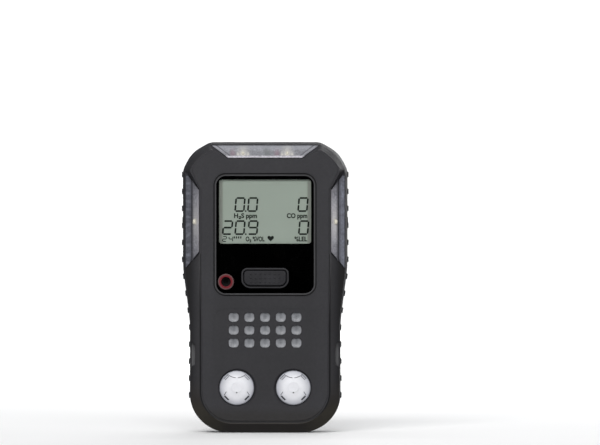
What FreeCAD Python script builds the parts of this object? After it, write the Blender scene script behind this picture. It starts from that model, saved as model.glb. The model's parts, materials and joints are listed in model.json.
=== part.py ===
"""Portable four-gas detector, clip-on, about 120 x 68 x 32 mm without its clip.

Frame: millimetres, +Z up the long axis, the display faces -Y, the clip is on +Y.
The origin is on the flat bottom edge, on the plane of symmetry.
Each sub-part is written as parts/NODE.step, one or more separate closed solids per node.
"""

import FreeCAD
import Part
import math
import os

Vector = FreeCAD.Vector

# ---- driving dimensions of the case -------------------------------------------------
HEIGHT = 120.0
UPPER_HALF = 34.05  # half width of the case beside the display
LOWER_HALF = 31.2  # half width of the case beside the sensors
FRONT_Y = -16.0  # crest of the front panel
BACK_Y = 16.0
PARTING_Y = -3.0  # plane where the two shells meet
BEVEL_FOOT_Y = -8.0  # where the front bevel starts
BACK_ROUND_Y = 7.0  # where the rear corner rounding starts
BACK_ROUND = 5.0  # how far that rounding pulls the outline in
WALL = 2.3
PANEL_BACK_Y = -13.2  # inner face of the front panel
REAR_WALL_Y = 13.8  # inner face of the rear wall
STEP = 0.3  # the front panel stands this proud of the bevel's crest
CROWN_R = 400.0  # crown radius of the front panel across the case
FIT = 0.1  # gap round a piece set into another

# Right half of the case outline: x, z, corner radius, from the bottom up.
BOTTOM_FLAT = 11.0
OUTLINE = [
    (BOTTOM_FLAT, 0.0, 80.0),
    (LOWER_HALF, 0.7, 15.8),
    (LOWER_HALF, 46.5, 60.0),
    (UPPER_HALF, 68.0, 60.0),
    (UPPER_HALF, 108.6, 8.0),
    (30.4, 115.7, 14.0),
    (22.7, HEIGHT, 7.0),
]
# The same outline at the foot of the front bevel, drafted in.
BEVEL_FOOT = [
    (BOTTOM_FLAT, 0.0, 80.0),
    (30.7, 0.7, 15.4),
    (30.7, 46.5, 60.0),
    (33.1, 68.0, 60.0),
    (33.1, 108.2, 7.5),
    (29.9, 115.0, 13.5),
    (22.4, 118.9, 6.5),
]
# And at the crest of the bevel, where it meets the front panel.
BEVEL_CREST = [
    (10.0, 4.0, 60.0),
    (25.4, 4.4, 12.5),
    (25.5, 46.5, 60.0),
    (26.1, 68.0, 60.0),
    (26.1, 105.0, 4.0),
    (23.0, 111.0, 9.0),
    (16.5, 112.9, 4.0),
]
# Raised front panel, with an ear over each shoulder between the light bars.
PANEL = [
    (10.0, 4.9, 60.0),
    (25.9, 5.1, 12.3),
    (26.0, 46.5, 60.0),
    (26.4, 68.0, 60.0),
    (26.4, 100.0, 3.0),
    (30.5, 108.5, 2.2),
    (27.0, 112.7, 25.0),
    (22.5, 116.4, 2.2),
    (15.0, 112.8, 1.5),
]
EAR_CREST = [
    (15.0, 98.0, 0.0),
    (26.6, 99.8, 0.0),
    (30.8, 108.4, 2.4),
    (27.3, 113.0, 25.0),
    (22.6, 116.8, 2.4),
    (15.1, 113.2, 0.0),
]
EAR_FOOT = [
    (15.0, 98.0, 0.0),
    (26.9, 99.5, 0.0),
    (33.1, 108.2, 2.2),
    (29.9, 115.0, 13.5),
    (22.4, 118.9, 2.2),
    (15.1, 113.4, 0.0),
]

# ---- light bars ----------------------------------------------------------------------
SIDE_POCKET = [(33.0, 67.4), (33.0, 108.0), (27.1, 100.8), (27.1, 73.8)]
SIDE_BAR = [(32.95, 67.7), (32.95, 107.7), (27.4, 100.35), (27.4, 74.3)]
TOP_POCKET_HALF = [(15.45, 113.05), (22.4, 118.8)]
TOP_BAR_HALF = [(15.1, 113.35), (22.2, 118.7)]
BAR_DEPTH = 2.2  # thickness of a bar along y
LED_SIZE = 1.6
LEDS = [(-9.2, 114.9), (9.2, 114.9), (-29.1, 87.0), (29.1, 87.0)]

# ---- window, display and button ------------------------------------------------------
WINDOW_HALF = 20.15
WINDOW_LOW_Z = 57.5
WINDOW_TOP_Z = 105.9
WINDOW_R = 3.9
RIM = 0.65  # width of the lip round the window
RIM_GROOVE = 0.55
RIM_GROOVE_DEPTH = 0.6
POCKET_Y = -14.0
LENS_FRONT_Y = -15.2
MASK_T = 0.15
VIEW_HALF = 19.0
VIEW_LOW_Z = 78.0
VIEW_TOP_Z = 104.5
VIEW_R = 1.1
LCD_HALF = 21.0
LCD_LOW_Z = 75.6
LCD_TOP_Z = 107.0
LCD_Y = (-13.1, -11.3)
BOARD_Y = (-7.6, -6.4)

BUTTON_Z = 63.8
RING_HALF = (9.8, 4.2)
RING_WALL = 0.65
RING_R = (2.5, 3.7)  # upper and lower corner radii
CAP_GAP = 0.45
CAP_FRONT_Y = -15.55
PLUNGER_R = 1.5
PLUNGER_TIP_Y = -11.4
SWITCH_Y = -10.6
SWITCH_SIZE = 6.0

BUZZER_X = -16.1
BUZZER_Z = 62.3
BOOT_R = 3.3
BOOT_HOLE_R = 1.9
BUZZER_R = 5.5
BUZZER_FRONT_Y = -12.9

# ---- gas inlets and sensors ----------------------------------------------------------
GRID_COLS = 5
GRID_ROWS = 3
GRID_PITCH = (6.46, 5.29)
GRID_MID_Z = 42.4
GRID_HOLE_HALF = (2.1, 1.95)
GRID_HOLE_R = 1.55
SENSOR_X = 11.65
SENSOR_Z = 18.6
SENSOR_R = 10.0
SENSOR_Y = (-11.35, 5.25)
INLET_R = 7.4
INLET_BEVEL = 0.75
CAP_DOME_R = 24.0  # inlet cap's face
CAP_MARK_DEPTH = 0.5
CAP_LINE = 0.26  # width of its fine grooves
FIELD = (21.4, 9.4, 51.2, 5.0)  # half width, bottom, top and corner radius
FIELD_DEPTH = 0.15
SENSOR_BOARD_Y = (6.6, 8.0)

# ---- grips and dock catches ----------------------------------------------------------
RIB_PITCH = 7.03
RIB_COUNT = 14
RIB_FIRST_Z = 106.6
RIB_HEIGHT = 2.3
RIB_PROUD = 0.45
PALM_STEP_Z = (86.4, 88.9)  # a shallow step above the fourth rib
PALM_STEP_PROUD = 0.25
GRIP_T = 1.2
GRIP_Y = (-1.7, 6.6)
GRIP_Z = (12.4, 109.2)
NOTCH_Z = (26.6, 37.9)
NOTCH_X = 28.9
NOTCH_FLOOR_Y = -5.8

# ---- fastening -----------------------------------------------------------------------
CASE_BOSSES = [(22.8, 9.6), (25.6, 51.5), (24.2, 110.2)]
BOSS_R = 3.1
INSERT_R = 1.9
SCREW_R = 1.25
SCREW_HEAD_R = 2.4
SCREW_HEAD_Y = (8.6, 10.4)
BOARD_SCREWS = [(26.6, 60.0), (26.6, 101.0)]

# ---- power and alarm -----------------------------------------------------------------
CELL_R = 7.2
CELL_HALF = 25.0
CELL_Y = 1.6
CELL_Z = (66.6, 82.2)
MOTOR_R = 3.5
MOTOR_Y = -1.6
MOTOR_Z = 98.5
MOTOR_X = (-7.0, 7.0)
WEIGHT_X = (9.0, 12.6)
WEIGHT_R = 3.2
SHAFT_R = 0.6

# ---- alligator clip on the back ------------------------------------------------------
CLIP_SHEET = 1.0
CLIP_FLOOR_Y = 14.9  # floor of the recess that takes the clip's base
CLIP_HALF = 7.2
CLIP_Z = (62.5, 108.5)
PIVOT_Y = 18.7
PIVOT_Z = 90.0
PIN_R = 1.2
EAR_X = (4.7, 5.7)  # inner and outer face of the base's ears
FLANGE_X = (5.9, 6.8)  # and of the jaw's side flanges
CLIP_SCREW_Z = (84.0, 103.4)
SPRING_WIRE_R = 0.4
SPRING_COIL_R = 1.95
SPRING_TURNS = 4.5
SPRING_LEG = 9.0

EPS = 0.01


# ---- outlines ------------------------------------------------------------------------
def mirrored(half):
    """A closed outline from its right half, listed from the bottom to the top."""
    return half + [(-x, z, r) for x, z, r in reversed(half)]


def inset(corners, by):
    """The outline moved inward by a distance, with its corner radii to match."""
    n = len(corners)
    moved = []
    for i, (x, z, r) in enumerate(corners):
        x0, z0, _ = corners[i - 1]
        x1, z1, _ = corners[(i + 1) % n]
        a = Vector(x - x0, 0, z - z0).normalize()
        b = Vector(x1 - x, 0, z1 - z).normalize()
        turn = a.x * b.z - a.z * b.x
        bisector = Vector(-a.z - b.z, 0, a.x + b.x).normalize()
        reach = by / max(0.2, bisector.dot(Vector(-a.z, 0, a.x)))
        radius = max(0.3, r - by if turn > 0 else r + by) if r else 0.0
        moved.append((x + bisector.x * reach, z + bisector.z * reach, radius))
    return moved


def outline_wire(corners, y):
    """A wire in the plane at y through the corners (x, z, radius), each one rounded."""
    n = len(corners)
    edges = []
    stops = []
    for i, (x, z, r) in enumerate(corners):
        here = Vector(x, y, z)
        back = Vector(corners[i - 1][0] - x, 0, corners[i - 1][1] - z).normalize()
        ahead = Vector(corners[(i + 1) % n][0] - x, 0, corners[(i + 1) % n][1] - z).normalize()
        if r == 0:
            stops.append((here, None, here))
            continue
        half_turn = (math.pi - back.getAngle(ahead)) / 2
        if half_turn < 1e-3:
            stops.append((here + back * 0.4, here, here + ahead * 0.4))
            continue
        reach = r * math.tan(half_turn)
        middle = here + (back + ahead).normalize() * (r / math.cos(half_turn) - r)
        stops.append((here + back * reach, middle, here + ahead * reach))
    for i, (start, middle, end) in enumerate(stops):
        if middle is not None:
            straight = abs((middle - start).getAngle(end - middle)) < 1e-4
            curve = Part.LineSegment(start, end) if straight else Part.Arc(start, middle, end)
            edges.append(curve.toShape())
        following = stops[(i + 1) % n][0]
        if (following - end).Length > 1e-6:
            edges.append(Part.LineSegment(end, following).toShape())
    return Part.Wire(edges)


def prism(corners, y0, y1):
    """The outline extruded from y0 to y1."""
    return Part.Face(outline_wire(corners, y0)).extrude(Vector(0, y1 - y0, 0))


def loft(sections, ruled=True):
    """A solid through outlines (corners, y) that have the same corners."""
    return Part.makeLoft([outline_wire(c, y) for c, y in sections], True, ruled)


def rectangle(half_x, z0, z1, r, x=0.0):
    """A rounded rectangle outline about x."""
    return [
        (x + half_x, z0, r),
        (x + half_x, z1, r),
        (x - half_x, z1, r),
        (x - half_x, z0, r),
    ]


def polygon(points):
    """A sharp outline through (x, z) points."""
    return [(x, z, 0.0) for x, z in points]


def box(x, y, z):
    """A box from three (low, high) pairs."""
    return Part.makeBox(x[1] - x[0], y[1] - y[0], z[1] - z[0], Vector(x[0], y[0], z[0]))


def rod(r, x, z, y0, y1):
    """A cylinder along y."""
    return Part.makeCylinder(r, y1 - y0, Vector(x, y0, z), Vector(0, 1, 0))


def ring(outer, inner, x, z, y0, y1):
    """A tube along y."""
    return rod(outer, x, z, y0, y1).cut(rod(inner, x, z, y0 - 1, y1 + 1))


def cross_rod(r, x0, x1, y, z):
    """A cylinder along x."""
    return Part.makeCylinder(r, x1 - x0, Vector(x0, y, z), Vector(1, 0, 0))


def both_sides(shape):
    """The shape and its mirror image in the plane of symmetry."""
    return [shape, shape.mirror(Vector(0, 0, 0), Vector(1, 0, 0))]


def joined(shapes):
    """The shapes fused into one."""
    shapes = list(shapes)
    if len(shapes) == 1:
        return shapes[0]
    return shapes[0].multiFuse(shapes[1:]).removeSplitter()


def rounded(shape, radius, wanted):
    """The shape with the wanted edges filleted."""
    return shape.makeFillet(radius, [e for e in shape.Edges if wanted(e)])


def on_plane(edge, y):
    """True if the edge lies in the plane at y."""
    box_of = edge.BoundBox
    return abs(box_of.YMin - y) < 1e-3 and abs(box_of.YMax - y) < 1e-3


def crowned(drop):
    """A huge solid whose front surface is the panel's crown, moved back by drop."""
    return Part.makeCylinder(CROWN_R - drop, 200, Vector(0, FRONT_Y + CROWN_R, -40))


def crown_y(x, drop=0.0):
    """The crown's y at a distance x from the middle."""
    return FRONT_Y + CROWN_R - math.sqrt((CROWN_R - drop) ** 2 - x**2)


def edge_on_crown(edge, drop):
    """True if the edge's middle lies on the crown moved back by drop."""
    point = edge.valueAt((edge.FirstParameter + edge.LastParameter) / 2)
    return abs(point.y - crown_y(point.x, drop)) < 0.02


# ---- the case --------------------------------------------------------------------------
CASE = mirrored(OUTLINE)
FOOT = mirrored(BEVEL_FOOT)
CREST = mirrored(BEVEL_CREST)


def bevel_block():
    """The front bevel without its ears, as high as the panel's step."""
    block = loft([(FOOT, BEVEL_FOOT_Y), (CREST, FRONT_Y)])
    return block.common(crowned(STEP))


def ear_block():
    """The two shoulder ears, sloping from the panel's edge down to the bevel's foot."""
    ear = loft([(EAR_FOOT, BEVEL_FOOT_Y), (EAR_CREST, FRONT_Y)])
    ear = ear.common(prism(FOOT, FRONT_Y - 1, BEVEL_FOOT_Y)).common(crowned(STEP))
    return both_sides(ear)


def panel_block():
    """The raised front panel, with a softened edge."""
    panel = prism(mirrored(PANEL), -12.0, FRONT_Y - 1).common(crowned(0.0))
    return rounded(panel, STEP * 0.8, lambda e: edge_on_crown(e, 0.0))


def bar_regions(side, top_half):
    """The right-hand, left-hand and top outlines of the light bars or their pockets."""
    right = polygon(side)
    left = polygon([(-x, z) for x, z in reversed(side)])
    top = polygon(top_half + [(-x, z) for x, z in reversed(top_half)])
    return right, left, top


def inner_front():
    """The hollow of the front shell."""
    low = loft([(inset(FOOT, WALL - 0.4), BEVEL_FOOT_Y + 0.5), (inset(CREST, 1.2), PANEL_BACK_Y)])
    high = prism(inset(CASE, WALL), BEVEL_FOOT_Y + 0.5 - EPS, PARTING_Y + 1)
    return joined([low, high])


def window_outline(grow):
    """The window's rounded rectangle, grown all round."""
    return rectangle(
        WINDOW_HALF + grow, WINDOW_LOW_Z - grow, WINDOW_TOP_Z + grow, WINDOW_R + grow
    )


def button_outline(half_x, half_z, shrink):
    """The button's outline: its lower corners are rounder than its upper ones."""
    upper, lower = (max(0.5, r - shrink) for r in RING_R)
    return [
        (half_x, BUTTON_Z - half_z, lower),
        (half_x, BUTTON_Z + half_z, upper),
        (-half_x, BUTTON_Z + half_z, upper),
        (-half_x, BUTTON_Z - half_z, lower),
    ]


def ring_outline(shrink):
    """The outline of the ring round the button, moved inward."""
    return button_outline(RING_HALF[0] - shrink, RING_HALF[1] - shrink, shrink)


def grid_centres():
    """Centres of the gas inlet grid, row by row from the top."""
    columns = [(c - (GRID_COLS - 1) / 2) * GRID_PITCH[0] for c in range(GRID_COLS)]
    rows = [GRID_MID_Z + ((GRID_ROWS - 1) / 2 - r) * GRID_PITCH[1] for r in range(GRID_ROWS)]
    return [(x, z) for z in rows for x in columns]


def grid_hole(x, z, shrink, y0, y1):
    """One inlet hole of the grid, made smaller by shrink."""
    half_x = GRID_HOLE_HALF[0] - shrink
    half_z = GRID_HOLE_HALF[1] - shrink
    return prism(rectangle(half_x, z - half_z, z + half_z, GRID_HOLE_R - shrink, x), y0, y1)


def notch_outline(shrink=0.0):
    """The right-hand notch that takes a dock's latch, with slanted ends."""
    z0, z1 = NOTCH_Z
    out = LOWER_HALF + 1
    corners = [(out, z0 - 0.6), (out, z1 + 0.6), (NOTCH_X, z1 - 1.4), (NOTCH_X, z0 + 1.4)]
    return inset(polygon(corners), shrink)


def front_outer():
    """The front shell's outside, with the pockets of the light bars."""
    pockets = Part.makeCompound([bar_pocket(r) for r in bar_regions(SIDE_POCKET, TOP_POCKET_HALF)])
    side = loft([(CASE, PARTING_Y), (FOOT, BEVEL_FOOT_Y)])
    blocks = [side, bevel_block()] + ear_block()
    return joined([block.cut(pockets) for block in blocks] + [panel_block()])


def front_shell():
    """Front casing: bevels, panel, window pocket, button ring, inlets and screw bosses."""
    standing = both_sides(box((26.0, 40.0), (-20.0, 0.0), (24.6, 39.9)))
    for x, z in CASE_BOSSES:
        standing += both_sides(rod(BOSS_R, x, z, -20.0, 0.0))
    for x, z in BOARD_SCREWS:
        standing += both_sides(rod(2.2, x, z, -20.0, BOARD_Y[0]))
    body = front_outer().cut(inner_front().cut(Part.makeCompound(standing)))

    cuts = [rod(1.2, x, z, -13.0, -7.0) for x, z in LEDS]
    cuts.append(prism(window_outline(0.0), FRONT_Y - 1, POCKET_Y))
    view = rectangle(VIEW_HALF + 0.6, VIEW_LOW_Z - 0.6, VIEW_TOP_Z + 0.6, 1.6)
    cuts.append(prism(view, POCKET_Y - 1, -12.0))
    cuts.append(rod(BOOT_R + 0.05, BUZZER_X, BUZZER_Z, FRONT_Y - 1, -12.0))
    cuts.append(crown_groove(window_outline(RIM + RIM_GROOVE), window_outline(RIM), RIM_GROOVE_DEPTH))
    half_x, z0, z1, r = FIELD
    cuts.append(crown_groove(rectangle(half_x, z0, z1, r), None, FIELD_DEPTH))
    cuts += [grid_hole(x, z, 0.0, FRONT_Y - 1, -12.0) for x, z in grid_centres()]
    for x in (-SENSOR_X, SENSOR_X):
        cuts.append(rod(INLET_R, x, SENSOR_Z, FRONT_Y - 1, -12.0))
        cuts.append(inlet_bevel(x))
    cuts += both_sides(prism(notch_outline(), FRONT_Y - 1, NOTCH_FLOOR_Y))
    cuts += both_sides(dock_catch())
    for x, z in CASE_BOSSES:
        cuts += both_sides(rod(INSERT_R, x, z, -9.2, PARTING_Y + 1))
    for x, z in BOARD_SCREWS:
        cuts += both_sides(rod(0.85, x, z, -12.2, BOARD_Y[0] + 1))
    body = body.cut(Part.makeCompound(cuts))

    ring_tube = prism(ring_outline(0.0), -15.45, PANEL_BACK_Y - 0.2)
    ring_tube = rounded(ring_tube, 0.3, lambda e: on_plane(e, -15.45))
    body = joined([body, ring_tube])
    return body.cut(prism(ring_outline(RING_WALL), FRONT_Y - 1, -12.0))


def crown_groove(outer, inner, depth):
    """The material between two outlines that lies less than depth under the crown."""
    tool = prism(outer, -14.5, FRONT_Y - 1)
    if inner:
        tool = tool.cut(prism(inner, -12.0, FRONT_Y - 2))
    return tool.cut(crowned(depth))


def inlet_bevel(x):
    """The countersink round a sensor inlet."""
    mouth = FRONT_Y - 0.2
    return Part.makeCone(
        INLET_R + INLET_BEVEL + 0.35,
        INLET_R,
        INLET_BEVEL + 0.35,
        Vector(x, mouth, SENSOR_Z),
        Vector(0, 1, 0),
    )


def rear_outer():
    """The rear shell's outside: straight sides, then a soft round to the back."""
    straight = prism(CASE, PARTING_Y, BACK_ROUND_Y)
    steps = 6
    sections = []
    for i in range(steps + 1):
        angle = math.pi / 2 * i / steps
        pull = BACK_ROUND * (1 - math.cos(angle))
        sections.append((inset(CASE, pull), BACK_ROUND_Y + (BACK_Y - BACK_ROUND_Y) * math.sin(angle)))
    return joined([straight, loft(sections, ruled=False)])


def grip_band():
    """The strip of the case's side that the rubber grips cover, on the right."""
    band = prism(CASE, *GRIP_Y).cut(prism(inset(CASE, GRIP_T), GRIP_Y[0] - 1, GRIP_Y[1] + 1))
    return band.common(box((20.0, 40.0), GRIP_Y, GRIP_Z))


def rear_shell():
    """Rear casing: walls, screw wells, recesses for the clip, the label and the grips."""
    hollow = joined(
        [
            prism(inset(CASE, WALL), PARTING_Y - 1, 8.5),
            loft([(inset(CASE, WALL), 8.5 - EPS), (inset(CASE, 6.8), REAR_WALL_Y)]),
        ]
    )
    columns = [rod(3.0, 0, z, 9.4, 20.0) for z in CLIP_SCREW_Z]
    for x, z in CASE_BOSSES:
        columns += both_sides(rod(BOSS_R + 0.4, x, z, -5.0, 20.0))
    body = rear_outer().cut(hollow.cut(Part.makeCompound(columns)))

    cuts = []
    for x, z in CASE_BOSSES:
        cuts += both_sides(rod(SCREW_R + 0.2, x, z, PARTING_Y - 1, BACK_Y))
        cuts += both_sides(rod(SCREW_HEAD_R + 0.15, x, z, SCREW_HEAD_Y[0], BACK_Y + 1))
    cuts += both_sides(grip_band())
    clip_recess = rectangle(CLIP_HALF + 0.15, CLIP_Z[0] - 0.15, CLIP_Z[1] + 0.15, 1.65)
    cuts.append(prism(clip_recess, CLIP_FLOOR_Y, BACK_Y + 1))
    cuts.append(prism(label_outline(0.15), BACK_Y - 0.5, BACK_Y + 1))
    cuts.append(prism(ir_outline(0.05), 12.0, BACK_Y + 1))
    for z in CLIP_SCREW_Z:
        cuts.append(rod(1.3, 0, z, 10.0, BACK_Y))
    cuts.append(seal_ring(0.05).common(box((-40, 40), (PARTING_Y, 5), (-5, 125))))
    return body.cut(Part.makeCompound(cuts))


def label_outline(grow):
    """The rating label on the back."""
    return rectangle(20.0 + grow, 17.0 - grow, 55.0 + grow, 2.0 + grow)


def ir_outline(grow):
    """The infrared window low on the back."""
    return rectangle(4.6 + grow, 9.0 - grow, 12.6 + grow, 1.7 + grow)


def seal_ring(grow=0.0):
    """The square-section seal between the shells, just inside the wall."""
    outer = prism(inset(CASE, WALL - 1.5 - grow), PARTING_Y, PARTING_Y + 1.0 + grow)
    return outer.cut(prism(inset(CASE, WALL - 0.6 + grow), PARTING_Y - 1, PARTING_Y + 3))


def side_grip():
    """Right-hand rubber grip: a band let into the case, with ribs across it."""
    band = grip_band().common(prism(CASE, *GRIP_Y))
    proud = raised_band(RIB_PROUD)
    core = prism(inset(CASE, 0.1 - RIB_PROUD), GRIP_Y[0] - 1, GRIP_Y[1] + 1)
    ribs = []
    for i in range(RIB_COUNT):
        z = RIB_FIRST_Z - i * RIB_PITCH
        slab = box((20.0, 40.0), (GRIP_Y[0], GRIP_Y[1] - 0.6), (z - RIB_HEIGHT / 2, z + RIB_HEIGHT / 2))
        rib = proud.common(slab)
        ribs.append(rounded(rib, 0.25, lambda e: not core.isInside(e.CenterOfMass, 1e-6, True)))
    step = raised_band(PALM_STEP_PROUD).common(box((20.0, 40.0), (GRIP_Y[0], GRIP_Y[1] - 0.6), PALM_STEP_Z))
    return joined([band, step] + ribs)


def raised_band(proud):
    """A band all round the case from halfway into the grips to a height over the case."""
    outer = prism(inset(CASE, -proud), *GRIP_Y)
    return outer.cut(prism(inset(CASE, GRIP_T * 0.5), GRIP_Y[0] - 1, GRIP_Y[1] + 1))


# ---- light bars ------------------------------------------------------------------------
def bar_pocket(region):
    """What is taken out of the bevel for a bar: an even depth under its surface."""
    deeper = bevel_block()
    deeper.translate(Vector(0, BAR_DEPTH, 0))
    return prism(region, FRONT_Y - 1, BEVEL_FOOT_Y + BAR_DEPTH).cut(deeper)


def light_bar(region):
    """A bar that fills its pocket up to the bevel's surface."""
    foot = prism(FOOT, BEVEL_FOOT_Y, BEVEL_FOOT_Y + BAR_DEPTH)
    return joined([bevel_block(), foot]).common(bar_pocket(region))


def light_bars():
    """The right, left and top bars."""
    side, _, top = bar_regions(SIDE_BAR, TOP_BAR_HALF)
    right = light_bar(side)
    return right, right.mirror(Vector(0, 0, 0), Vector(1, 0, 0)), light_bar(top)


def alarm_leds():
    """Surface-mount alarm lamps on the display board, one solid each."""
    half = LED_SIZE / 2
    y = (BOARD_Y[0] - 0.8, BOARD_Y[0])
    return [box((x - half, x + half), y, (z - half, z + half)) for x, z in LEDS]


# ---- window and display ----------------------------------------------------------------
def window_openings(y0, y1, grow):
    """What passes through the window: the button ring and the sounder's boot."""
    return [prism(ring_outline(-grow), y0, y1), rod(BOOT_R + grow, BUZZER_X, BUZZER_Z, y0, y1)]


def window_lens():
    """Clear window with a softened front edge."""
    lens = prism(window_outline(-FIT), LENS_FRONT_Y, POCKET_Y - MASK_T)
    lens = rounded(lens, 0.25, lambda e: on_plane(e, LENS_FRONT_Y))
    return lens.cut(Part.makeCompound(window_openings(FRONT_Y - 1, -12, 0.06)))


def window_mask():
    """Black print behind the window, open over the display."""
    mask = prism(window_outline(-FIT), POCKET_Y - MASK_T, POCKET_Y)
    mask = mask.cut(prism(rectangle(VIEW_HALF, VIEW_LOW_Z, VIEW_TOP_Z, VIEW_R), -15, -12))
    return mask.cut(Part.makeCompound(window_openings(FRONT_Y - 1, -12, 0.06)))


def lcd_glass():
    """Display cell: a lower glass with a contact ledge and a shorter upper glass."""
    middle = (LCD_Y[0] + LCD_Y[1]) / 2
    front = box((-LCD_HALF, LCD_HALF), (LCD_Y[0], middle), (LCD_LOW_Z, LCD_TOP_Z))
    back = box((-LCD_HALF, LCD_HALF), (middle, LCD_Y[1]), (LCD_LOW_Z + 2.4, LCD_TOP_Z - 2.2))
    return front.fuse(back).removeSplitter()


def lcd_backlight():
    """Light guide behind the display, with a thin edge."""
    return box((-20.2, 20.2), (LCD_Y[1], LCD_Y[1] + 1.6), (LCD_LOW_Z + 2.7, LCD_TOP_Z - 2.5))


def lcd_frame():
    """Plastic carrier that holds display, light guide and contact strips on the board."""
    frame = prism(rectangle(21.8, 74.4, 107.9, 1.2), -12.9, BOARD_Y[0])
    seat_x = (-LCD_HALF - FIT, LCD_HALF + FIT)
    seat_z = (LCD_LOW_Z - FIT, LCD_TOP_Z + FIT)
    frame = frame.cut(box(seat_x, (-14, LCD_Y[1] + 1.7), seat_z))
    for low, high in zebra_spans():
        frame = frame.cut(box((-18.1, 18.1), (-14, BOARD_Y[0] + 1), (low - 0.05, high + 0.05)))
    return frame


def zebra_spans():
    """Heights of the two contact strips."""
    return [(LCD_LOW_Z + 0.2, LCD_LOW_Z + 2.0), (LCD_TOP_Z - 2.0, LCD_TOP_Z - 0.2)]


def lcd_contact_strips():
    """Elastomer strips from the display's ledges to the board."""
    middle = (LCD_Y[0] + LCD_Y[1]) / 2
    return [box((-18.0, 18.0), (middle, BOARD_Y[0]), span) for span in zebra_spans()]


def button_cap():
    """Rubber button: a dotted face, a retaining flange and a post onto the switch."""
    cap = prism(ring_outline(RING_WALL + CAP_GAP), CAP_FRONT_Y, PANEL_BACK_Y + 0.2)
    cap = rounded(cap, 0.45, lambda e: on_plane(e, CAP_FRONT_Y))
    flange = prism(button_outline(9.8, 4.3, 0.6), PANEL_BACK_Y + 0.05, PANEL_BACK_Y + 0.85)
    post = rod(2.0, 0, BUTTON_Z, PANEL_BACK_Y + 0.4, PLUNGER_TIP_Y)
    dots = [
        Part.makeSphere(0.75, Vector(col * 1.95, CAP_FRONT_Y + 0.6, BUTTON_Z + row * 1.7))
        for col in range(-3, 4)
        for row in (-1, 0, 1)
    ]
    return joined([cap, flange, post] + dots)


def switch_body():
    """Tactile switch under the button, with a bore for its plunger."""
    half = SWITCH_SIZE / 2
    body = box((-half, half), (SWITCH_Y, BOARD_Y[0]), (BUTTON_Z - half, BUTTON_Z + half))
    return body.cut(rod(PLUNGER_R + 0.06, 0, BUTTON_Z, SWITCH_Y - 1, SWITCH_Y + 1.8))


def switch_plunger():
    """The switch's moving plunger, at rest against the button's post."""
    return rod(PLUNGER_R, 0, BUTTON_Z, PLUNGER_TIP_Y, SWITCH_Y + 1.0)


def buzzer():
    """Sounder can with its sound port facing the boot."""
    can = rod(BUZZER_R, BUZZER_X, BUZZER_Z, BUZZER_FRONT_Y, BOARD_Y[0])
    can = rounded(can, 0.4, lambda e: on_plane(e, BUZZER_FRONT_Y))
    return can.cut(rod(1.0, BUZZER_X, BUZZER_Z, BUZZER_FRONT_Y - 1, BUZZER_FRONT_Y + 2.0))


def sounder_boot():
    """Red silicone tube that seals the sounder to its port in the window."""
    tube = ring(BOOT_R, BOOT_HOLE_R, BUZZER_X, BUZZER_Z, -15.4, BUZZER_FRONT_Y)
    tube = rounded(tube, 0.3, lambda e: on_plane(e, -15.4))
    return tube


# ---- gas inlets and sensors --------------------------------------------------------------
def grille_filter():
    """White filter sheet with a dished nub in each inlet hole."""
    outline = rectangle(16.4, GRID_MID_Z - 8.6, GRID_MID_Z + 8.6, 2.0)
    sheet = prism(outline, PANEL_BACK_Y + 0.05, PANEL_BACK_Y + 0.55)
    nubs = []
    for x, z in grid_centres():
        front = crown_y(x) + 0.45
        nub = grid_hole(x, z, 0.08, front, PANEL_BACK_Y + 0.2)
        dish = Part.makeSphere(4.2, Vector(x, front - 3.55, z))
        nubs.append(nub.cut(dish))
    return joined([sheet] + nubs)


def sensor_filter(x):
    """White domed inlet cap over a sensor: raised eye, snap slots and an arched groove."""
    y_rim = FRONT_Y + 0.75
    dome_centre = Vector(x, y_rim - 0.55 + CAP_DOME_R, SENSOR_Z)
    dome = Part.makeSphere(CAP_DOME_R, dome_centre)
    cap = rod(INLET_R - 0.12, x, SENSOR_Z, y_rim - 1.0, PANEL_BACK_Y + 0.3).common(dome)
    cap = rounded(cap, 1.1, lambda e: e.CenterOfMass.y < y_rim + 0.9 and e.Length > 40)
    flange = rod(8.8, x, SENSOR_Z, PANEL_BACK_Y + 0.05, PANEL_BACK_Y + 0.85)
    eye = rod(2.3, x, SENSOR_Z + 0.2, y_rim - 0.65, y_rim + 0.5)
    eye = rounded(eye, 0.12, lambda e: on_plane(e, y_rim - 0.65))
    body = joined([cap, eye, flange])
    uncut = Part.makeSphere(CAP_DOME_R - CAP_MARK_DEPTH, dome_centre)
    return body.cut(Part.makeCompound(filter_marks(x, y_rim)).cut(uncut))


def filter_marks(x, y_rim):
    """Cuts in an inlet cap's face: snap slots, pairs of fine lines, a vent dot and two arcs."""
    marks = []
    deep = (y_rim - 1, y_rim + 1.2)
    half_cut = CAP_LINE / 2
    for side in (-1, 1):
        slot = box((-1.2, 1.2), deep, (-0.34, 0.34))
        marks.append(turned_mark(slot, x, side * 135.0, 5.9))
        spoke = box((-half_cut, half_cut), deep, (-0.9, 0.9))
        spoke.rotate(Vector(0, 0, 0), Vector(0, 1, 0), side * 31.5)
        marks.append(turned_mark(spoke, x, side * 116.0, 5.3))
        for reach, half in ((5.7, 1.1), (6.4, 1.25)):
            line = box((-half, half), deep, (-half_cut, half_cut))
            marks.append(turned_mark(line, x, side * 45.0, reach))
    arch_r = 5.7
    arch = ring(arch_r + half_cut, arch_r - half_cut, x, SENSOR_Z + 4.15 + arch_r, *deep)
    gap = box((x - 0.4, x + 0.4), deep, (SENSOR_Z, SENSOR_Z + 8))
    lower = box((x - 3.7, x + 3.7), deep, (SENSOR_Z, SENSOR_Z + 5.6))
    marks.append(arch.common(lower).cut(gap))
    marks.append(rod(0.3, x, SENSOR_Z - 1.95, *deep))
    return marks


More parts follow.
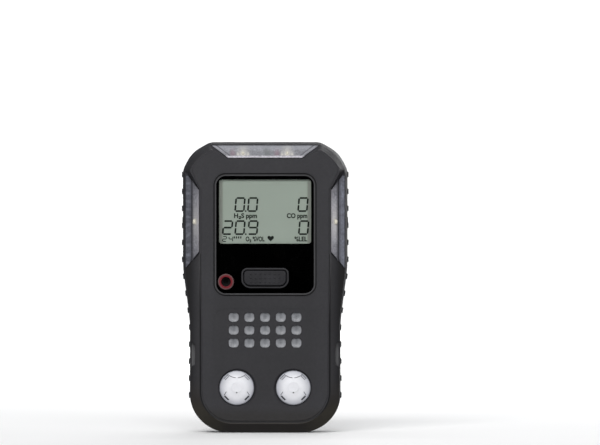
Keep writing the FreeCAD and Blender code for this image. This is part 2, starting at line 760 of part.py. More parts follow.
def turned_mark(mark, x, clockwise, reach):
    """The mark moved up from the inlet's axis by reach and turned clockwise about the axis."""
    placed = mark.copy()
    placed.translate(Vector(0, 0, reach))
    placed.rotate(Vector(0, 0, 0), Vector(0, 1, 0), clockwise)
    placed.translate(Vector(x, 0, SENSOR_Z))
    return placed


def sensor_gasket(x, z, y0):
    """Foam ring between an inlet and its sensor."""
    return ring(9.4, 6.6, x, z, y0, SENSOR_Y[0])


def gas_sensor(x, z):
    """Cylindrical sensor: rim, face recess and a fine inlet."""
    can = rod(SENSOR_R, x, z, *SENSOR_Y)
    can = rounded(can, 0.6, lambda e: e.Length > 40)
    can = can.cut(rod(6.2, x, z, SENSOR_Y[0] - 1, SENSOR_Y[0] + 0.5))
    return can.cut(ring(SENSOR_R + 1, SENSOR_R - 0.4, x, z, -2.0, -1.0))


def sensor_places():
    """Sensor axes: two below, one behind the grid."""
    return [(-SENSOR_X, SENSOR_Z), (SENSOR_X, SENSOR_Z), (0.0, GRID_MID_Z)]


def pin_places():
    """Pin axes, three to a sensor."""
    found = []
    for x, z in sensor_places():
        for i in range(3):
            angle = math.radians(90 + 120 * i)
            found.append((x + 6.7 * math.cos(angle), z + 6.7 * math.sin(angle)))
    return found


def sensor_pins():
    """Sensor contact pins, one solid each."""
    return [rod(0.6, x, z, SENSOR_Y[1], SENSOR_BOARD_Y[1] + 0.6) for x, z in pin_places()]


def sensor_sockets():
    """Sockets on the sensor board, one round each pin."""
    return [ring(1.5, 0.65, x, z, SENSOR_Y[1] + 0.05, SENSOR_BOARD_Y[0]) for x, z in pin_places()]


# ---- boards ------------------------------------------------------------------------------
def display_board():
    """Upper circuit board, behind the display."""
    right = [(26.5, 55.6), (29.8, 64.0), (29.9, 104.5), (19.8, 104.5), (19.8, 116.6)]
    board = prism(mirrored([(x, z, 0.0) for x, z in right]), *BOARD_Y)
    holes = [s for x, z in BOARD_SCREWS for s in both_sides(rod(1.0, x, z, -9, -5))]
    return board.cut(Part.makeCompound(holes))


def sensor_board():
    """Lower circuit board, behind the sensors, clear of the screw columns."""
    board = prism(inset(CASE, 4.0), *SENSOR_BOARD_Y).common(box((-28, 28), (5, 10), (7.2, 57.4)))
    holes = []
    for x, z in CASE_BOSSES[:2]:
        holes += both_sides(rod(BOSS_R + 0.9, x, z, 5, 10))
    holes += [rod(0.65, x, z, 5, 10) for x, z in pin_places()]
    return board.cut(Part.makeCompound(holes))


def board_chips():
    """Packages on the boards' rear faces, one solid each."""
    sizes = [
        (-12.0, 20.0, 9.0, 9.0, 1.2),
        (10.0, 29.5, 7.0, 7.0, 1.0),
        (-14.0, 44.0, 5.0, 4.0, 1.4),
        (15.0, 44.0, 6.0, 6.0, 2.0),
        (0.0, 26.0, 3.0, 2.0, 0.8),
    ]
    y = SENSOR_BOARD_Y[1]
    return [box((x - w / 2, x + w / 2), (y, y + t), (z - h / 2, z + h / 2)) for x, z, w, h, t in sizes]


def board_flex():
    """Flat flexible link between the boards."""
    t = 0.25
    half = 6.0
    z = 58.0
    up = box((-half, half), (BOARD_Y[1], BOARD_Y[1] + t), (z, z + 0.6))
    across = box((-half, half), (BOARD_Y[1], SENSOR_BOARD_Y[0]), (z - t, z))
    down = box((-half, half), (SENSOR_BOARD_Y[0] - t, SENSOR_BOARD_Y[0]), (54.5, z))
    return joined([up, across, down])


def board_screws():
    """Screws that hold the display board, one solid each."""
    found = []
    for x, z in BOARD_SCREWS:
        head = rod(1.7, x, z, BOARD_Y[1], BOARD_Y[1] + 1.2)
        shank = rod(0.84, x, z, -11.5, BOARD_Y[1])
        cross = joined(
            [
                box((x - 0.9, x + 0.9), (BOARD_Y[1] + 0.6, BOARD_Y[1] + 2), (z - 0.2, z + 0.2)),
                box((x - 0.2, x + 0.2), (BOARD_Y[1] + 0.6, BOARD_Y[1] + 2), (z - 0.9, z + 0.9)),
            ]
        )
        found += both_sides(joined([head, shank]).cut(cross))
    return found


# ---- power and alarm ---------------------------------------------------------------------
def battery_cell(z):
    """Lithium cell with a raised positive button."""
    can = cross_rod(CELL_R, -CELL_HALF, CELL_HALF - 0.8, CELL_Y, z)
    can = rounded(can, 0.7, lambda e: e.Length > 40)
    return joined([can, cross_rod(2.6, CELL_HALF - 1, CELL_HALF, CELL_Y, z)])


def battery_tray():
    """Cradle for the two cells, on the display board's back."""
    z0, z1 = CELL_Z[0] - CELL_R - 0.6, CELL_Z[1] + CELL_R + 0.6
    tray = prism(rectangle(23.5, z0, z1, 1.5), BOARD_Y[1] + 0.1, CELL_Y - 0.4)
    for z in CELL_Z:
        tray = tray.cut(cross_rod(CELL_R + 0.08, -30, 30, CELL_Y, z))
    return tray


def battery_tabs():
    """Nickel tabs welded to the cells' ends, one solid each."""
    x = (CELL_HALF, CELL_HALF + 0.2)
    minus = (-CELL_HALF - 0.2, -CELL_HALF)
    y = (CELL_Y - 1.5, CELL_Y + 1.5)
    link = box(minus, y, (CELL_Z[0] - 1.5, CELL_Z[1] + 1.5))
    return [link] + [box(x, y, (z - 1.5, z + 1.5)) for z in CELL_Z]


def battery_pad():
    """Foam pad that presses the cells home, on the rear wall."""
    pad = box((-18.0, 18.0), (6.0, REAR_WALL_Y - 0.1), (CELL_Z[0] + 1.0, CELL_Z[1] - 1.0))
    for z in CELL_Z:
        pad = pad.cut(cross_rod(CELL_R + 0.05, -30, 30, CELL_Y, z))
    pad = pad.cut(rod(3.1, 0, CLIP_SCREW_Z[0], 5, 20))
    return max(pad.Solids, key=lambda s: s.Volume)


def vibration_motor():
    """Cylindrical motor with a bore for its shaft."""
    can = cross_rod(MOTOR_R, MOTOR_X[0], MOTOR_X[1], MOTOR_Y, MOTOR_Z)
    can = rounded(can, 0.4, lambda e: e.Length > 15 and abs(abs(e.CenterOfMass.x) - MOTOR_X[1]) < 0.1)
    nose = cross_rod(1.6, MOTOR_X[1] - 1, MOTOR_X[1] + 1.0, MOTOR_Y, MOTOR_Z)
    return joined([can, nose]).cut(cross_rod(SHAFT_R + 0.05, -3.0, 12.0, MOTOR_Y, MOTOR_Z))


def motor_shaft():
    """The motor's shaft."""
    return cross_rod(SHAFT_R, -2.5, WEIGHT_X[1] + 0.4, MOTOR_Y, MOTOR_Z)


def eccentric_weight():
    """Half-round weight pressed onto the shaft."""
    disc = cross_rod(WEIGHT_R, WEIGHT_X[0], WEIGHT_X[1], MOTOR_Y, MOTOR_Z)
    half = box((0, 20), (MOTOR_Y - 5, MOTOR_Y + 5), (MOTOR_Z - 5, MOTOR_Z))
    hub = cross_rod(1.4, WEIGHT_X[0], WEIGHT_X[1], MOTOR_Y, MOTOR_Z)
    return joined([disc.common(half), hub]).cut(cross_rod(SHAFT_R, 0, 20, MOTOR_Y, MOTOR_Z))


def motor_cradle():
    """Saddle that holds the motor on the display board."""
    saddle = prism(rectangle(6.0, MOTOR_Z - 4.3, MOTOR_Z + 4.3, 0.6), BOARD_Y[1], MOTOR_Y + 0.6)
    return saddle.cut(cross_rod(MOTOR_R + 0.05, -10, 10, MOTOR_Y, MOTOR_Z))


# ---- fasteners and small parts -----------------------------------------------------------
def case_screws():
    """Six case screws with six-lobe style sockets, one solid each."""
    found = []
    for x, z in CASE_BOSSES:
        head = rod(SCREW_HEAD_R, x, z, *SCREW_HEAD_Y)
        head = rounded(head, 0.5, lambda e: on_plane(e, SCREW_HEAD_Y[1]))
        shank = rod(SCREW_R, x, z, -8.6, SCREW_HEAD_Y[0])
        socket = [rod(0.95, x, z, 9.3, 11)]
        for i in range(6):
            angle = math.radians(60 * i)
            socket.append(rod(0.4, x + 0.95 * math.cos(angle), z + 0.95 * math.sin(angle), 9.3, 11))
        found += both_sides(joined([head, shank]).cut(joined(socket)))
    return found


def threaded_inserts():
    """Brass inserts in the front shell's bosses, one solid each."""
    found = []
    for x, z in CASE_BOSSES:
        found += both_sides(ring(INSERT_R, SCREW_R, x, z, -9.1, PARTING_Y - 0.3))
    return found


def dock_catch():
    """Right-hand metal catch plate let into the notch's floor."""
    plate = prism(notch_outline(FIT), NOTCH_FLOOR_Y, NOTCH_FLOOR_Y + 0.8)
    return plate.common(box((20.0, LOWER_HALF - 0.6), (-10.0, 0.0), NOTCH_Z))


def rear_label():
    """Blank rating label."""
    return prism(label_outline(0.0), BACK_Y - 0.5, BACK_Y - 0.15)


def ir_window():
    """Dark window over the infrared link."""
    return prism(ir_outline(0.0), REAR_WALL_Y - 0.1, BACK_Y - 0.2)


def ir_transceiver():
    """Infrared transmitter and receiver, one solid each."""
    found = []
    for x in (-2.4, 2.4):
        base = box((x - 1.2, x + 1.2), (SENSOR_BOARD_Y[1], 11.5), (9.6, 12.0))
        found.append(joined([base, rod(0.9, x, 10.8, 11.4, 12.6)]))
    return found


# ---- alligator clip ------------------------------------------------------------------------
def strip(points, half_x, thickness):
    """A bent strip: a path of (y, z, radius) thickened to one side and extruded along x."""
    n = len(points)
    normals = []
    for i in range(n - 1):
        d = Vector(0, points[i + 1][0] - points[i][0], points[i + 1][1] - points[i][1]).normalize()
        normals.append(Vector(0, d.z, -d.y))
    outer = []
    for i, (y, z, r) in enumerate(points):
        before = normals[max(i - 1, 0)]
        after = normals[min(i, n - 2)]
        mitre = (before + after).normalize()
        reach = thickness / mitre.dot(before)
        turn = before.y * after.z - before.z * after.y
        radius = max(0.3, r + math.copysign(thickness, turn)) if r else 0
        outer.append((y + mitre.y * reach, z + mitre.z * reach, radius))
    solid = prism(points + list(reversed(outer)), 0, 2 * half_x)
    # The path was drawn in the XZ plane: turn it so that the extrusion runs along x.
    solid.rotate(Vector(0, 0, 0), Vector(0, 0, 1), 90.0)
    solid.translate(Vector(half_x, 0, 0))
    return solid


def clip_base():
    """Steel base of the clip, screwed to the rear shell, with two ears for the pin."""
    plate = prism(rectangle(CLIP_HALF, *CLIP_Z, 1.5), CLIP_FLOOR_Y, CLIP_FLOOR_Y + CLIP_SHEET)
    ears = []
    for side in (-1, 1):
        x = sorted((side * EAR_X[0], side * EAR_X[1]))
        tab = box(x, (CLIP_FLOOR_Y, PIVOT_Y), (PIVOT_Z - 3.2, PIVOT_Z + 3.2))
        eye = cross_rod(2.3, x[0], x[1], PIVOT_Y, PIVOT_Z)
        ears.append(joined([tab, eye]))
    face = CLIP_FLOOR_Y + CLIP_SHEET
    lip = box((-5.4, 5.4), (face - 0.05, face + 0.7), (CLIP_Z[0] + 0.3, CLIP_Z[0] + 1.3))
    body = joined([plate, lip] + ears)
    cuts = [cross_rod(PIN_R, -10, 10, PIVOT_Y, PIVOT_Z)]
    cuts += [rod(1.6, 0, z, CLIP_FLOOR_Y - 1, CLIP_FLOOR_Y + 3) for z in CLIP_SCREW_Z]
    return body.cut(Part.makeCompound(cuts))


def jaw_profile():
    """Inner line of the jaw from its biting edge, over the throat, to the thumb tab."""
    bite_y = CLIP_FLOOR_Y + CLIP_SHEET + 0.1
    return [
        (bite_y, 65.2, 0.0),
        (bite_y + 4.9, 66.6, 1.6),
        (bite_y + 5.6, 80.0, 12.0),
        (bite_y + 5.3, 92.0, 10.0),
        (bite_y + 7.4, 101.0, 8.0),
        (bite_y + 8.3, 108.6, 0.0),
    ]


def clip_jaw():
    """Sprung jaw: a bent strip with teeth, side flanges for the pin and a thumb tab."""
    arm = strip(jaw_profile(), FLANGE_X[1], CLIP_SHEET)
    top = CLIP_FLOOR_Y + CLIP_SHEET + 5.9
    flanges = []
    for side in (-1, 1):
        x = sorted((side * FLANGE_X[0], side * FLANGE_X[1]))
        eye = cross_rod(2.2, x[0], x[1], PIVOT_Y, PIVOT_Z)
        web = box(x, (PIVOT_Y, top), (PIVOT_Z - 5.5, PIVOT_Z + 3.6))
        flanges.append(joined([eye, web]))
    body = joined([arm] + flanges)
    body = body.cut(cross_rod(PIN_R + 0.05, -10, 10, PIVOT_Y, PIVOT_Z))
    teeth = []
    for i in range(5):
        x = -5.4 + i * 2.7
        teeth.append(prism(polygon([(x - 0.75, 65.0), (x + 0.75, 65.0), (x, 66.6)]), 10, 17.6))
    grip_slots = [box((-4.4, 4.4), (20, 30), (z, z + 0.8)) for z in (103.0, 104.8, 106.6)]
    return body.cut(Part.makeCompound(teeth + grip_slots))


def clip_pin():
    """Hinge pin with a head at each end."""
    pin = cross_rod(PIN_R, -7.3, 7.3, PIVOT_Y, PIVOT_Z)
    heads = [cross_rod(1.9, x, x + 0.6, PIVOT_Y, PIVOT_Z) for x in (-7.5, 6.9)]
    return joined([pin] + heads)


def clip_spring():
    """Torsion spring round the pin: a coil with one leg on the base and one on the jaw."""
    pitch = 2 * SPRING_WIRE_R + 0.4
    length = SPRING_TURNS * pitch
    path = Part.makeHelix(pitch, length, SPRING_COIL_R)
    section = Part.makeCircle(SPRING_WIRE_R, Vector(SPRING_COIL_R, 0, 0), Vector(0, 1, 0))
    coil = Part.Wire(path.Edges).makePipeShell([Part.Wire([section])], True, True)
    down = Vector(0, -1, 0)
    base_leg = Part.makeCylinder(SPRING_WIRE_R, SPRING_LEG, Vector(SPRING_COIL_R, 0.3, 0), down)
    jaw_leg = Part.makeCylinder(SPRING_WIRE_R, SPRING_LEG, Vector(-SPRING_COIL_R, 0.3, length), down)
    spring = joined([coil, base_leg, jaw_leg])
    # Lay the coil's axis along x, with the legs pointing up the case.
    spring.rotate(Vector(0, 0, 0), Vector(0, 1, 0), 90.0)
    spring.rotate(Vector(0, 0, 0), Vector(1, 0, 0), -90.0)
    spring.translate(Vector(-length / 2, PIVOT_Y, PIVOT_Z))
    return spring


def clip_screws():
    """Two flat-headed screws that hold the clip's base, one solid each."""
    found = []
    y = CLIP_FLOOR_Y + CLIP_SHEET
    for z in CLIP_SCREW_Z:
        head = rod(2.6, 0, z, y, y + 1.1)
        head = rounded(head, 0.45, lambda e, y=y: on_plane(e, y + 1.1))
        shank = rod(1.28, 0, z, 10.4, y)
        slot = joined(
            [
                box((-1.5, 1.5), (y + 0.45, y + 2), (z - 0.28, z + 0.28)),
                box((-0.28, 0.28), (y + 0.45, y + 2), (z - 1.5, z + 1.5)),
            ]
        )
        found.append(joined([head, shank]).cut(slot))
    return found


# ---- output --------------------------------------------------------------------------------
def as_shape(made):
    """One shape for a node from a shape or a list of solids."""
    if isinstance(made, list):
        return Part.makeCompound([s for piece in made for s in piece.Solids])
    solids = made.Solids
    return solids[0] if len(solids) == 1 else Part.makeCompound(solids)


def nodes():
    """Every sub-part by its node name."""
    right_bar, left_bar, top_bar = light_bars()
    right_grip, left_grip = both_sides(side_grip())
    right_catch, left_catch = both_sides(dock_catch())
    return {
        "front_shell": front_shell(),
        "rear_shell": rear_shell(),
        "right_grip": right_grip,
        "left_grip": left_grip,
        "case_seal": seal_ring(),
        "right_light_bar": right_bar,
        "left_light_bar": left_bar,
        "top_light_bar": top_bar,
        "alarm_leds": alarm_leds(),
        "window_lens": window_lens(),
        "window_mask": window_mask(),
        "lcd_glass": lcd_glass(),
        "lcd_backlight": lcd_backlight(),
        "lcd_frame": lcd_frame(),
        "lcd_contact_strips": lcd_contact_strips(),
        "button_cap": button_cap(),
        "switch_body": switch_body(),
        "switch_plunger": switch_plunger(),
        "buzzer": buzzer(),
        "sounder_boot": sounder_boot(),
        "grille_filter": grille_filter(),
        "grille_gasket": sensor_gasket(0.0, GRID_MID_Z, PANEL_BACK_Y + 0.55),
        "left_sensor_filter": sensor_filter(-SENSOR_X),
        "right_sensor_filter": sensor_filter(SENSOR_X),
        "left_sensor_gasket": sensor_gasket(-SENSOR_X, SENSOR_Z, PANEL_BACK_Y + 0.85),
        "right_sensor_gasket": sensor_gasket(SENSOR_X, SENSOR_Z, PANEL_BACK_Y + 0.85),
        "left_gas_sensor": gas_sensor(-SENSOR_X, SENSOR_Z),
        "right_gas_sensor": gas_sensor(SENSOR_X, SENSOR_Z),
        "centre_gas_sensor": gas_sensor(0.0, GRID_MID_Z),
        "sensor_pins": sensor_pins(),
        "sensor_sockets": sensor_sockets(),
        "display_board": display_board(),
        "sensor_board": sensor_board(),
        "board_chips": board_chips(),
        "board_flex": board_flex(),
        "board_screws": board_screws(),
        "upper_battery_cell": battery_cell(CELL_Z[1]),
        "lower_battery_cell": battery_cell(CELL_Z[0]),
        "battery_tray": battery_tray(),
        "battery_tabs": battery_tabs(),
        "battery_pad": battery_pad(),
        "vibration_motor": vibration_motor(),
        "motor_shaft": motor_shaft(),
        "eccentric_weight": eccentric_weight(),
        "motor_cradle": motor_cradle(),
        "case_screws": case_screws(),
        "threaded_inserts": threaded_inserts(),
        "right_dock_catch": right_catch,
        "left_dock_catch": left_catch,
        "rear_label": rear_label(),
        "ir_window": ir_window(),
        "ir_transceiver": ir_transceiver(),
        "clip_base": clip_base(),
        "clip_jaw": clip_jaw(),
        "clip_pin": clip_pin(),
        "clip_spring": clip_spring(),
        "clip_screws": clip_screws(),
    }


def main():
    os.makedirs("parts", exist_ok=True)
    for name, made in nodes().items():
        shape = as_shape(made)
        shape.exportStep(os.path.join("parts", name + ".step"))
        print(name, len(shape.Solids), round(shape.Volume, 1), shape.isValid())


main()
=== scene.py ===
"""Looks of the portable gas detector: materials, display segments, light-bar optics and the studio.

Lengths in the constants below are millimetres in the part's own frame (+Z up, display faces -Y).
"""

import json
import math

import bpy
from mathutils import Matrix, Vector


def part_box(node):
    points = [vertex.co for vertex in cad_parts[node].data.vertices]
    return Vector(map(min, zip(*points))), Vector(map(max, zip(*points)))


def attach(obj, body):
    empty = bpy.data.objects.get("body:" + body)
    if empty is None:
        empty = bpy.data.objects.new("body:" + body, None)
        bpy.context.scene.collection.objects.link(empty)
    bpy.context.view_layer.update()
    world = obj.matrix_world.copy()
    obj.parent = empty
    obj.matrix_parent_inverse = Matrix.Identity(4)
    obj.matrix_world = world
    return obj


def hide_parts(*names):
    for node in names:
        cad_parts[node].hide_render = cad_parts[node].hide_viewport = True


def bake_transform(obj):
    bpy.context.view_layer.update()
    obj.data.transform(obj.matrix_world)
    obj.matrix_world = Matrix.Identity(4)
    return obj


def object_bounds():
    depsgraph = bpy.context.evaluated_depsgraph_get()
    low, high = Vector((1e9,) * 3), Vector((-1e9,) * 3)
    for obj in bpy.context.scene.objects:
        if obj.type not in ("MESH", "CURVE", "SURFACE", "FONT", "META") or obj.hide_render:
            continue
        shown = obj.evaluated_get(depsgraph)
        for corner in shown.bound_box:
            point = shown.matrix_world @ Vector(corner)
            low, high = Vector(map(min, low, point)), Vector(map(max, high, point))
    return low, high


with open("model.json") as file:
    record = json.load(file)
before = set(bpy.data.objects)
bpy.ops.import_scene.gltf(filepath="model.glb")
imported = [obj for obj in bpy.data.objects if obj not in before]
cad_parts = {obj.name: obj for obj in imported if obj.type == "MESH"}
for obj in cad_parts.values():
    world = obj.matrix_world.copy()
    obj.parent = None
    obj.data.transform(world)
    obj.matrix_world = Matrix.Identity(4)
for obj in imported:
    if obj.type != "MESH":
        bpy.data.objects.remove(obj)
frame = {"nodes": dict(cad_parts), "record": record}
cad_low, cad_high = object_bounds()
NODES = frame["nodes"]
MM = 0.001


# ---- places taken from the CAD nodes ---------------------------------------------------
def node_box(node):
    """Lowest and highest corner of a CAD node, in millimetres."""
    low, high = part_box(node)
    return low / MM, high / MM


LCD_LOW, LCD_HIGH = node_box("lcd_glass")
LCD_FACE_Y = LCD_LOW.y
WINDOW_LOW, WINDOW_HIGH = node_box("window_lens")
COVER_LOW, COVER_HIGH = node_box("right_sensor_filter")
BOOT_LOW, BOOT_HIGH = node_box("sounder_boot")

INK_T = 0.02  # thickness of display segments and prints
DIGIT_W = 4.3
DIGIT_H = 6.1
DIGIT_STROKE = 0.72
DIGIT_GAP = 0.17  # gap at a segment's end, as a share of its stroke
LETTER_BOLD = 0.1  # how far the small letters are thickened
SLANT = math.tan(math.radians(5.0))

WINDOW_R = 3.9  # corner radius of the window
LIP = 0.65  # width of the lip round it, and of the groove round the lip
LIP_GROOVE = 0.55
PANEL_HALF = 26.2  # outline of the raised front panel below the light bars
PANEL_LOW_Z = 5.0
PANEL_HIGH_Z = 160.0
PANEL_R = 12.4
COVER_R = 7.4
COVER_DOME_R = 24.0  # radius of an inlet cover's face
COVER_EYE_PROUD = 0.1  # how far its eye stands in front of the dome


# ---- node-graph helpers ------------------------------------------------------------------
class Look:
    """A Principled material with a few procedural layers added one call at a time."""

    def __init__(self, name, color, roughness=0.5, metallic=0.0, **sockets):
        self.material = bpy.data.materials.new(name)
        self.material.use_nodes = True
        self.tree = self.material.node_tree
        self.shader = self.tree.nodes["Principled BSDF"]
        self.shader.inputs["Base Color"].default_value = (*color, 1.0)
        self.shader.inputs["Roughness"].default_value = roughness
        self.shader.inputs["Metallic"].default_value = metallic
        for socket, value in sockets.items():
            self.shader.inputs[socket.replace("_", " ")].default_value = value
        self.place = self.tree.nodes.new("ShaderNodeTexCoord").outputs["Object"]
        self.color = self.shader.inputs["Base Color"].default_value[:]
        self.color_out = None
        self.height_out = None

    def node(self, kind, **values):
        made = self.tree.nodes.new(kind)
        for key, value in values.items():
            if key in made.inputs.keys():
                made.inputs[key].default_value = value
            else:
                setattr(made, key, value)
        return made

    def link(self, source, target):
        self.tree.links.new(source, target)
        return self

    def stretched(self, scale):
        """Object coordinates scaled by (x, y, z)."""
        mapping = self.node("ShaderNodeMapping")
        mapping.inputs["Scale"].default_value = scale
        self.link(self.place, mapping.inputs["Vector"])
        return mapping.outputs["Vector"]

    def noise(self, scale, detail=4.0, stretch=(1, 1, 1), rough=0.55):
        """Noise with features about 1/scale metres across."""
        made = self.node("ShaderNodeTexNoise", Scale=scale, Detail=detail, Roughness=rough)
        self.link(self.stretched(stretch), made.inputs["Vector"])
        return made.outputs["Fac"]

    def cells(self, scale):
        made = self.node("ShaderNodeTexVoronoi", Scale=scale)
        self.link(self.place, made.inputs["Vector"])
        return made.outputs["Distance"]

    def waves(self, scale, direction, distortion=0.0):
        made = self.node("ShaderNodeTexWave", Scale=scale, Distortion=distortion)
        made.bands_direction = direction
        self.link(self.place, made.inputs["Vector"])
        return made.outputs["Fac"]

    def ramp(self, factor, *stops):
        """Maps a factor through (position, colour) stops."""
        made = self.node("ShaderNodeValToRGB")
        ramp = made.color_ramp
        while len(ramp.elements) < len(stops):
            ramp.elements.new(0.5)
        for element, (position, color) in zip(ramp.elements, stops):
            element.position = position
            element.color = (*color, 1.0) if len(color) == 3 else color
        self.link(factor, made.inputs["Fac"])
        return made.outputs["Color"]

    def math(self, operation, a, b=None):
        made = self.node("ShaderNodeMath", operation=operation)
        for socket, value in zip(made.inputs, (a, b)):
            if isinstance(value, (int, float)):
                socket.default_value = value
            elif value is not None:
                self.link(value, socket)
        return made.outputs["Value"]

    def spot(self, centre, radius, stretch=(1, 1, 1)):
        """1 at a point (millimetres), falling to 0 at the radius; wider where the stretch is below 1."""
        made = self.node("ShaderNodeVectorMath", operation="DISTANCE")
        made.inputs[1].default_value = Vector(c * s for c, s in zip(centre, stretch)) * MM
        self.link(self.stretched(stretch), made.inputs[0])
        return self.between(made.outputs["Value"], radius, 0.0)

    def round_axis(self, x, z, zero, one):
        """0 and 1 at two distances (millimetres) from an axis along y."""
        made = self.node("ShaderNodeVectorMath", operation="DISTANCE")
        made.inputs[1].default_value = Vector((x, 0.0, z)) * MM
        self.link(self.stretched((1, 0, 1)), made.inputs[0])
        return self.between(made.outputs["Value"], zero, one)

    def along(self, axis, start, end):
        """0 at start and 1 at end (millimetres) along an axis."""
        split = self.node("ShaderNodeSeparateXYZ")
        self.link(self.place, split.inputs["Vector"])
        return self.between(split.outputs[axis], start, end)

    def fold_x(self):
        """From here on the layers see |x|, so that both sides look the same."""
        split = self.node("ShaderNodeSeparateXYZ")
        self.link(self.place, split.inputs["Vector"])
        joined = self.node("ShaderNodeCombineXYZ")
        self.link(self.math("ABSOLUTE", split.outputs["X"]), joined.inputs["X"])
        self.link(split.outputs["Y"], joined.inputs["Y"])
        self.link(split.outputs["Z"], joined.inputs["Z"])
        self.place = joined.outputs["Vector"]
        return self

    def inside(self, centre, radius, fade):
        """1 deep inside a sphere (millimetres), 0 outside it."""
        far = self.node("ShaderNodeVectorMath", operation="DISTANCE")
        far.inputs[1].default_value = Vector(centre) * MM
        self.link(self.place, far.inputs[0])
        return self.between(far.outputs["Value"], radius, radius - fade)

    def between(self, value, zero, one):
        """0 where a value in metres is at `zero` millimetres, 1 where it is at `one`."""
        made = self.node("ShaderNodeMapRange", interpolation_type="SMOOTHSTEP")
        made.inputs["From Min"].default_value = zero * MM
        made.inputs["From Max"].default_value = one * MM
        self.link(value, made.inputs["Value"])
        return made.outputs["Result"]

    def beside_box(self, half_x, low_z, high_z, radius):
        """Distance in metres from a rounded rectangle about x = 0 (millimetres), negative inside it."""
        split = self.node("ShaderNodeSeparateXYZ")
        self.link(self.place, split.inputs["Vector"])
        from_mid = self.math("SUBTRACT", split.outputs["Z"], (low_z + high_z) / 2 * MM)
        over_x = self.math("SUBTRACT", self.math("ABSOLUTE", split.outputs["X"]), (half_x - radius) * MM)
        over_z = self.math("SUBTRACT", self.math("ABSOLUTE", from_mid), ((high_z - low_z) / 2 - radius) * MM)
        past_x, past_z = self.math("MAXIMUM", over_x, 0.0), self.math("MAXIMUM", over_z, 0.0)
        square_x = self.math("MULTIPLY", past_x, past_x)
        square_z = self.math("MULTIPLY", past_z, past_z)
        squares = self.math("ADD", square_x, square_z)
        return self.math("SUBTRACT", self.math("SQRT", squares), radius * MM)

    def times(self, *factors):
        """The product of several factors."""
        made = factors[0]
        for factor in factors[1:]:
            made = self.math("MULTIPLY", made, factor)
        return made

    def tint(self, factor, color, amount=1.0, blend="MIX"):
        """Lays a colour over the base where the factor is high."""
        if amount != 1.0:
            factor = self.math("MULTIPLY", factor, amount)
        made = self.node("ShaderNodeMix", data_type="RGBA", blend_type=blend)
        made.inputs[6].default_value = self.color
        made.inputs[7].default_value = (*color, 1.0)
        if self.color_out:
            self.link(self.color_out, made.inputs[6])
        self.link(factor, made.inputs[0])
        self.color_out = made.outputs[2]
        self.link(self.color_out, self.shader.inputs["Base Color"])
        return self

    def mottle(self, scale, dark, light, detail=4.0, stretch=(1, 1, 1)):
        """Uneven colour: the base multiplied by a noise between two greys."""
        factor = self.noise(scale, detail, stretch)
        tone = self.ramp(factor, (0.3, (dark,) * 3), (0.7, (light,) * 3))
        made = self.node("ShaderNodeMix", data_type="RGBA", blend_type="MULTIPLY")
        made.inputs[0].default_value = 1.0
        made.inputs[6].default_value = self.color
        if self.color_out:
            self.link(self.color_out, made.inputs[6])
        self.link(tone, made.inputs[7])
        self.color_out = made.outputs[2]
        self.link(self.color_out, self.shader.inputs["Base Color"])
        return self

    def polish(self, factor, low, high):
        """Roughness between two values by a factor."""
        made = self.node("ShaderNodeMapRange")
        made.inputs["To Min"].default_value = low
        made.inputs["To Max"].default_value = high
        self.link(factor, made.inputs["Value"])
        self.link(made.outputs["Result"], self.shader.inputs["Roughness"])
        return self

    def relief(self, factor, height, strength=1.0):
        """A bump of a height in millimetres, chained after any earlier one."""
        made = self.node("ShaderNodeBump", Strength=strength, Distance=height * MM)
        self.link(factor, made.inputs["Height"])
        if self.height_out:
            self.link(self.height_out, made.inputs["Normal"])
        self.height_out = made.outputs["Normal"]
        self.link(self.height_out, self.shader.inputs["Normal"])
        return self


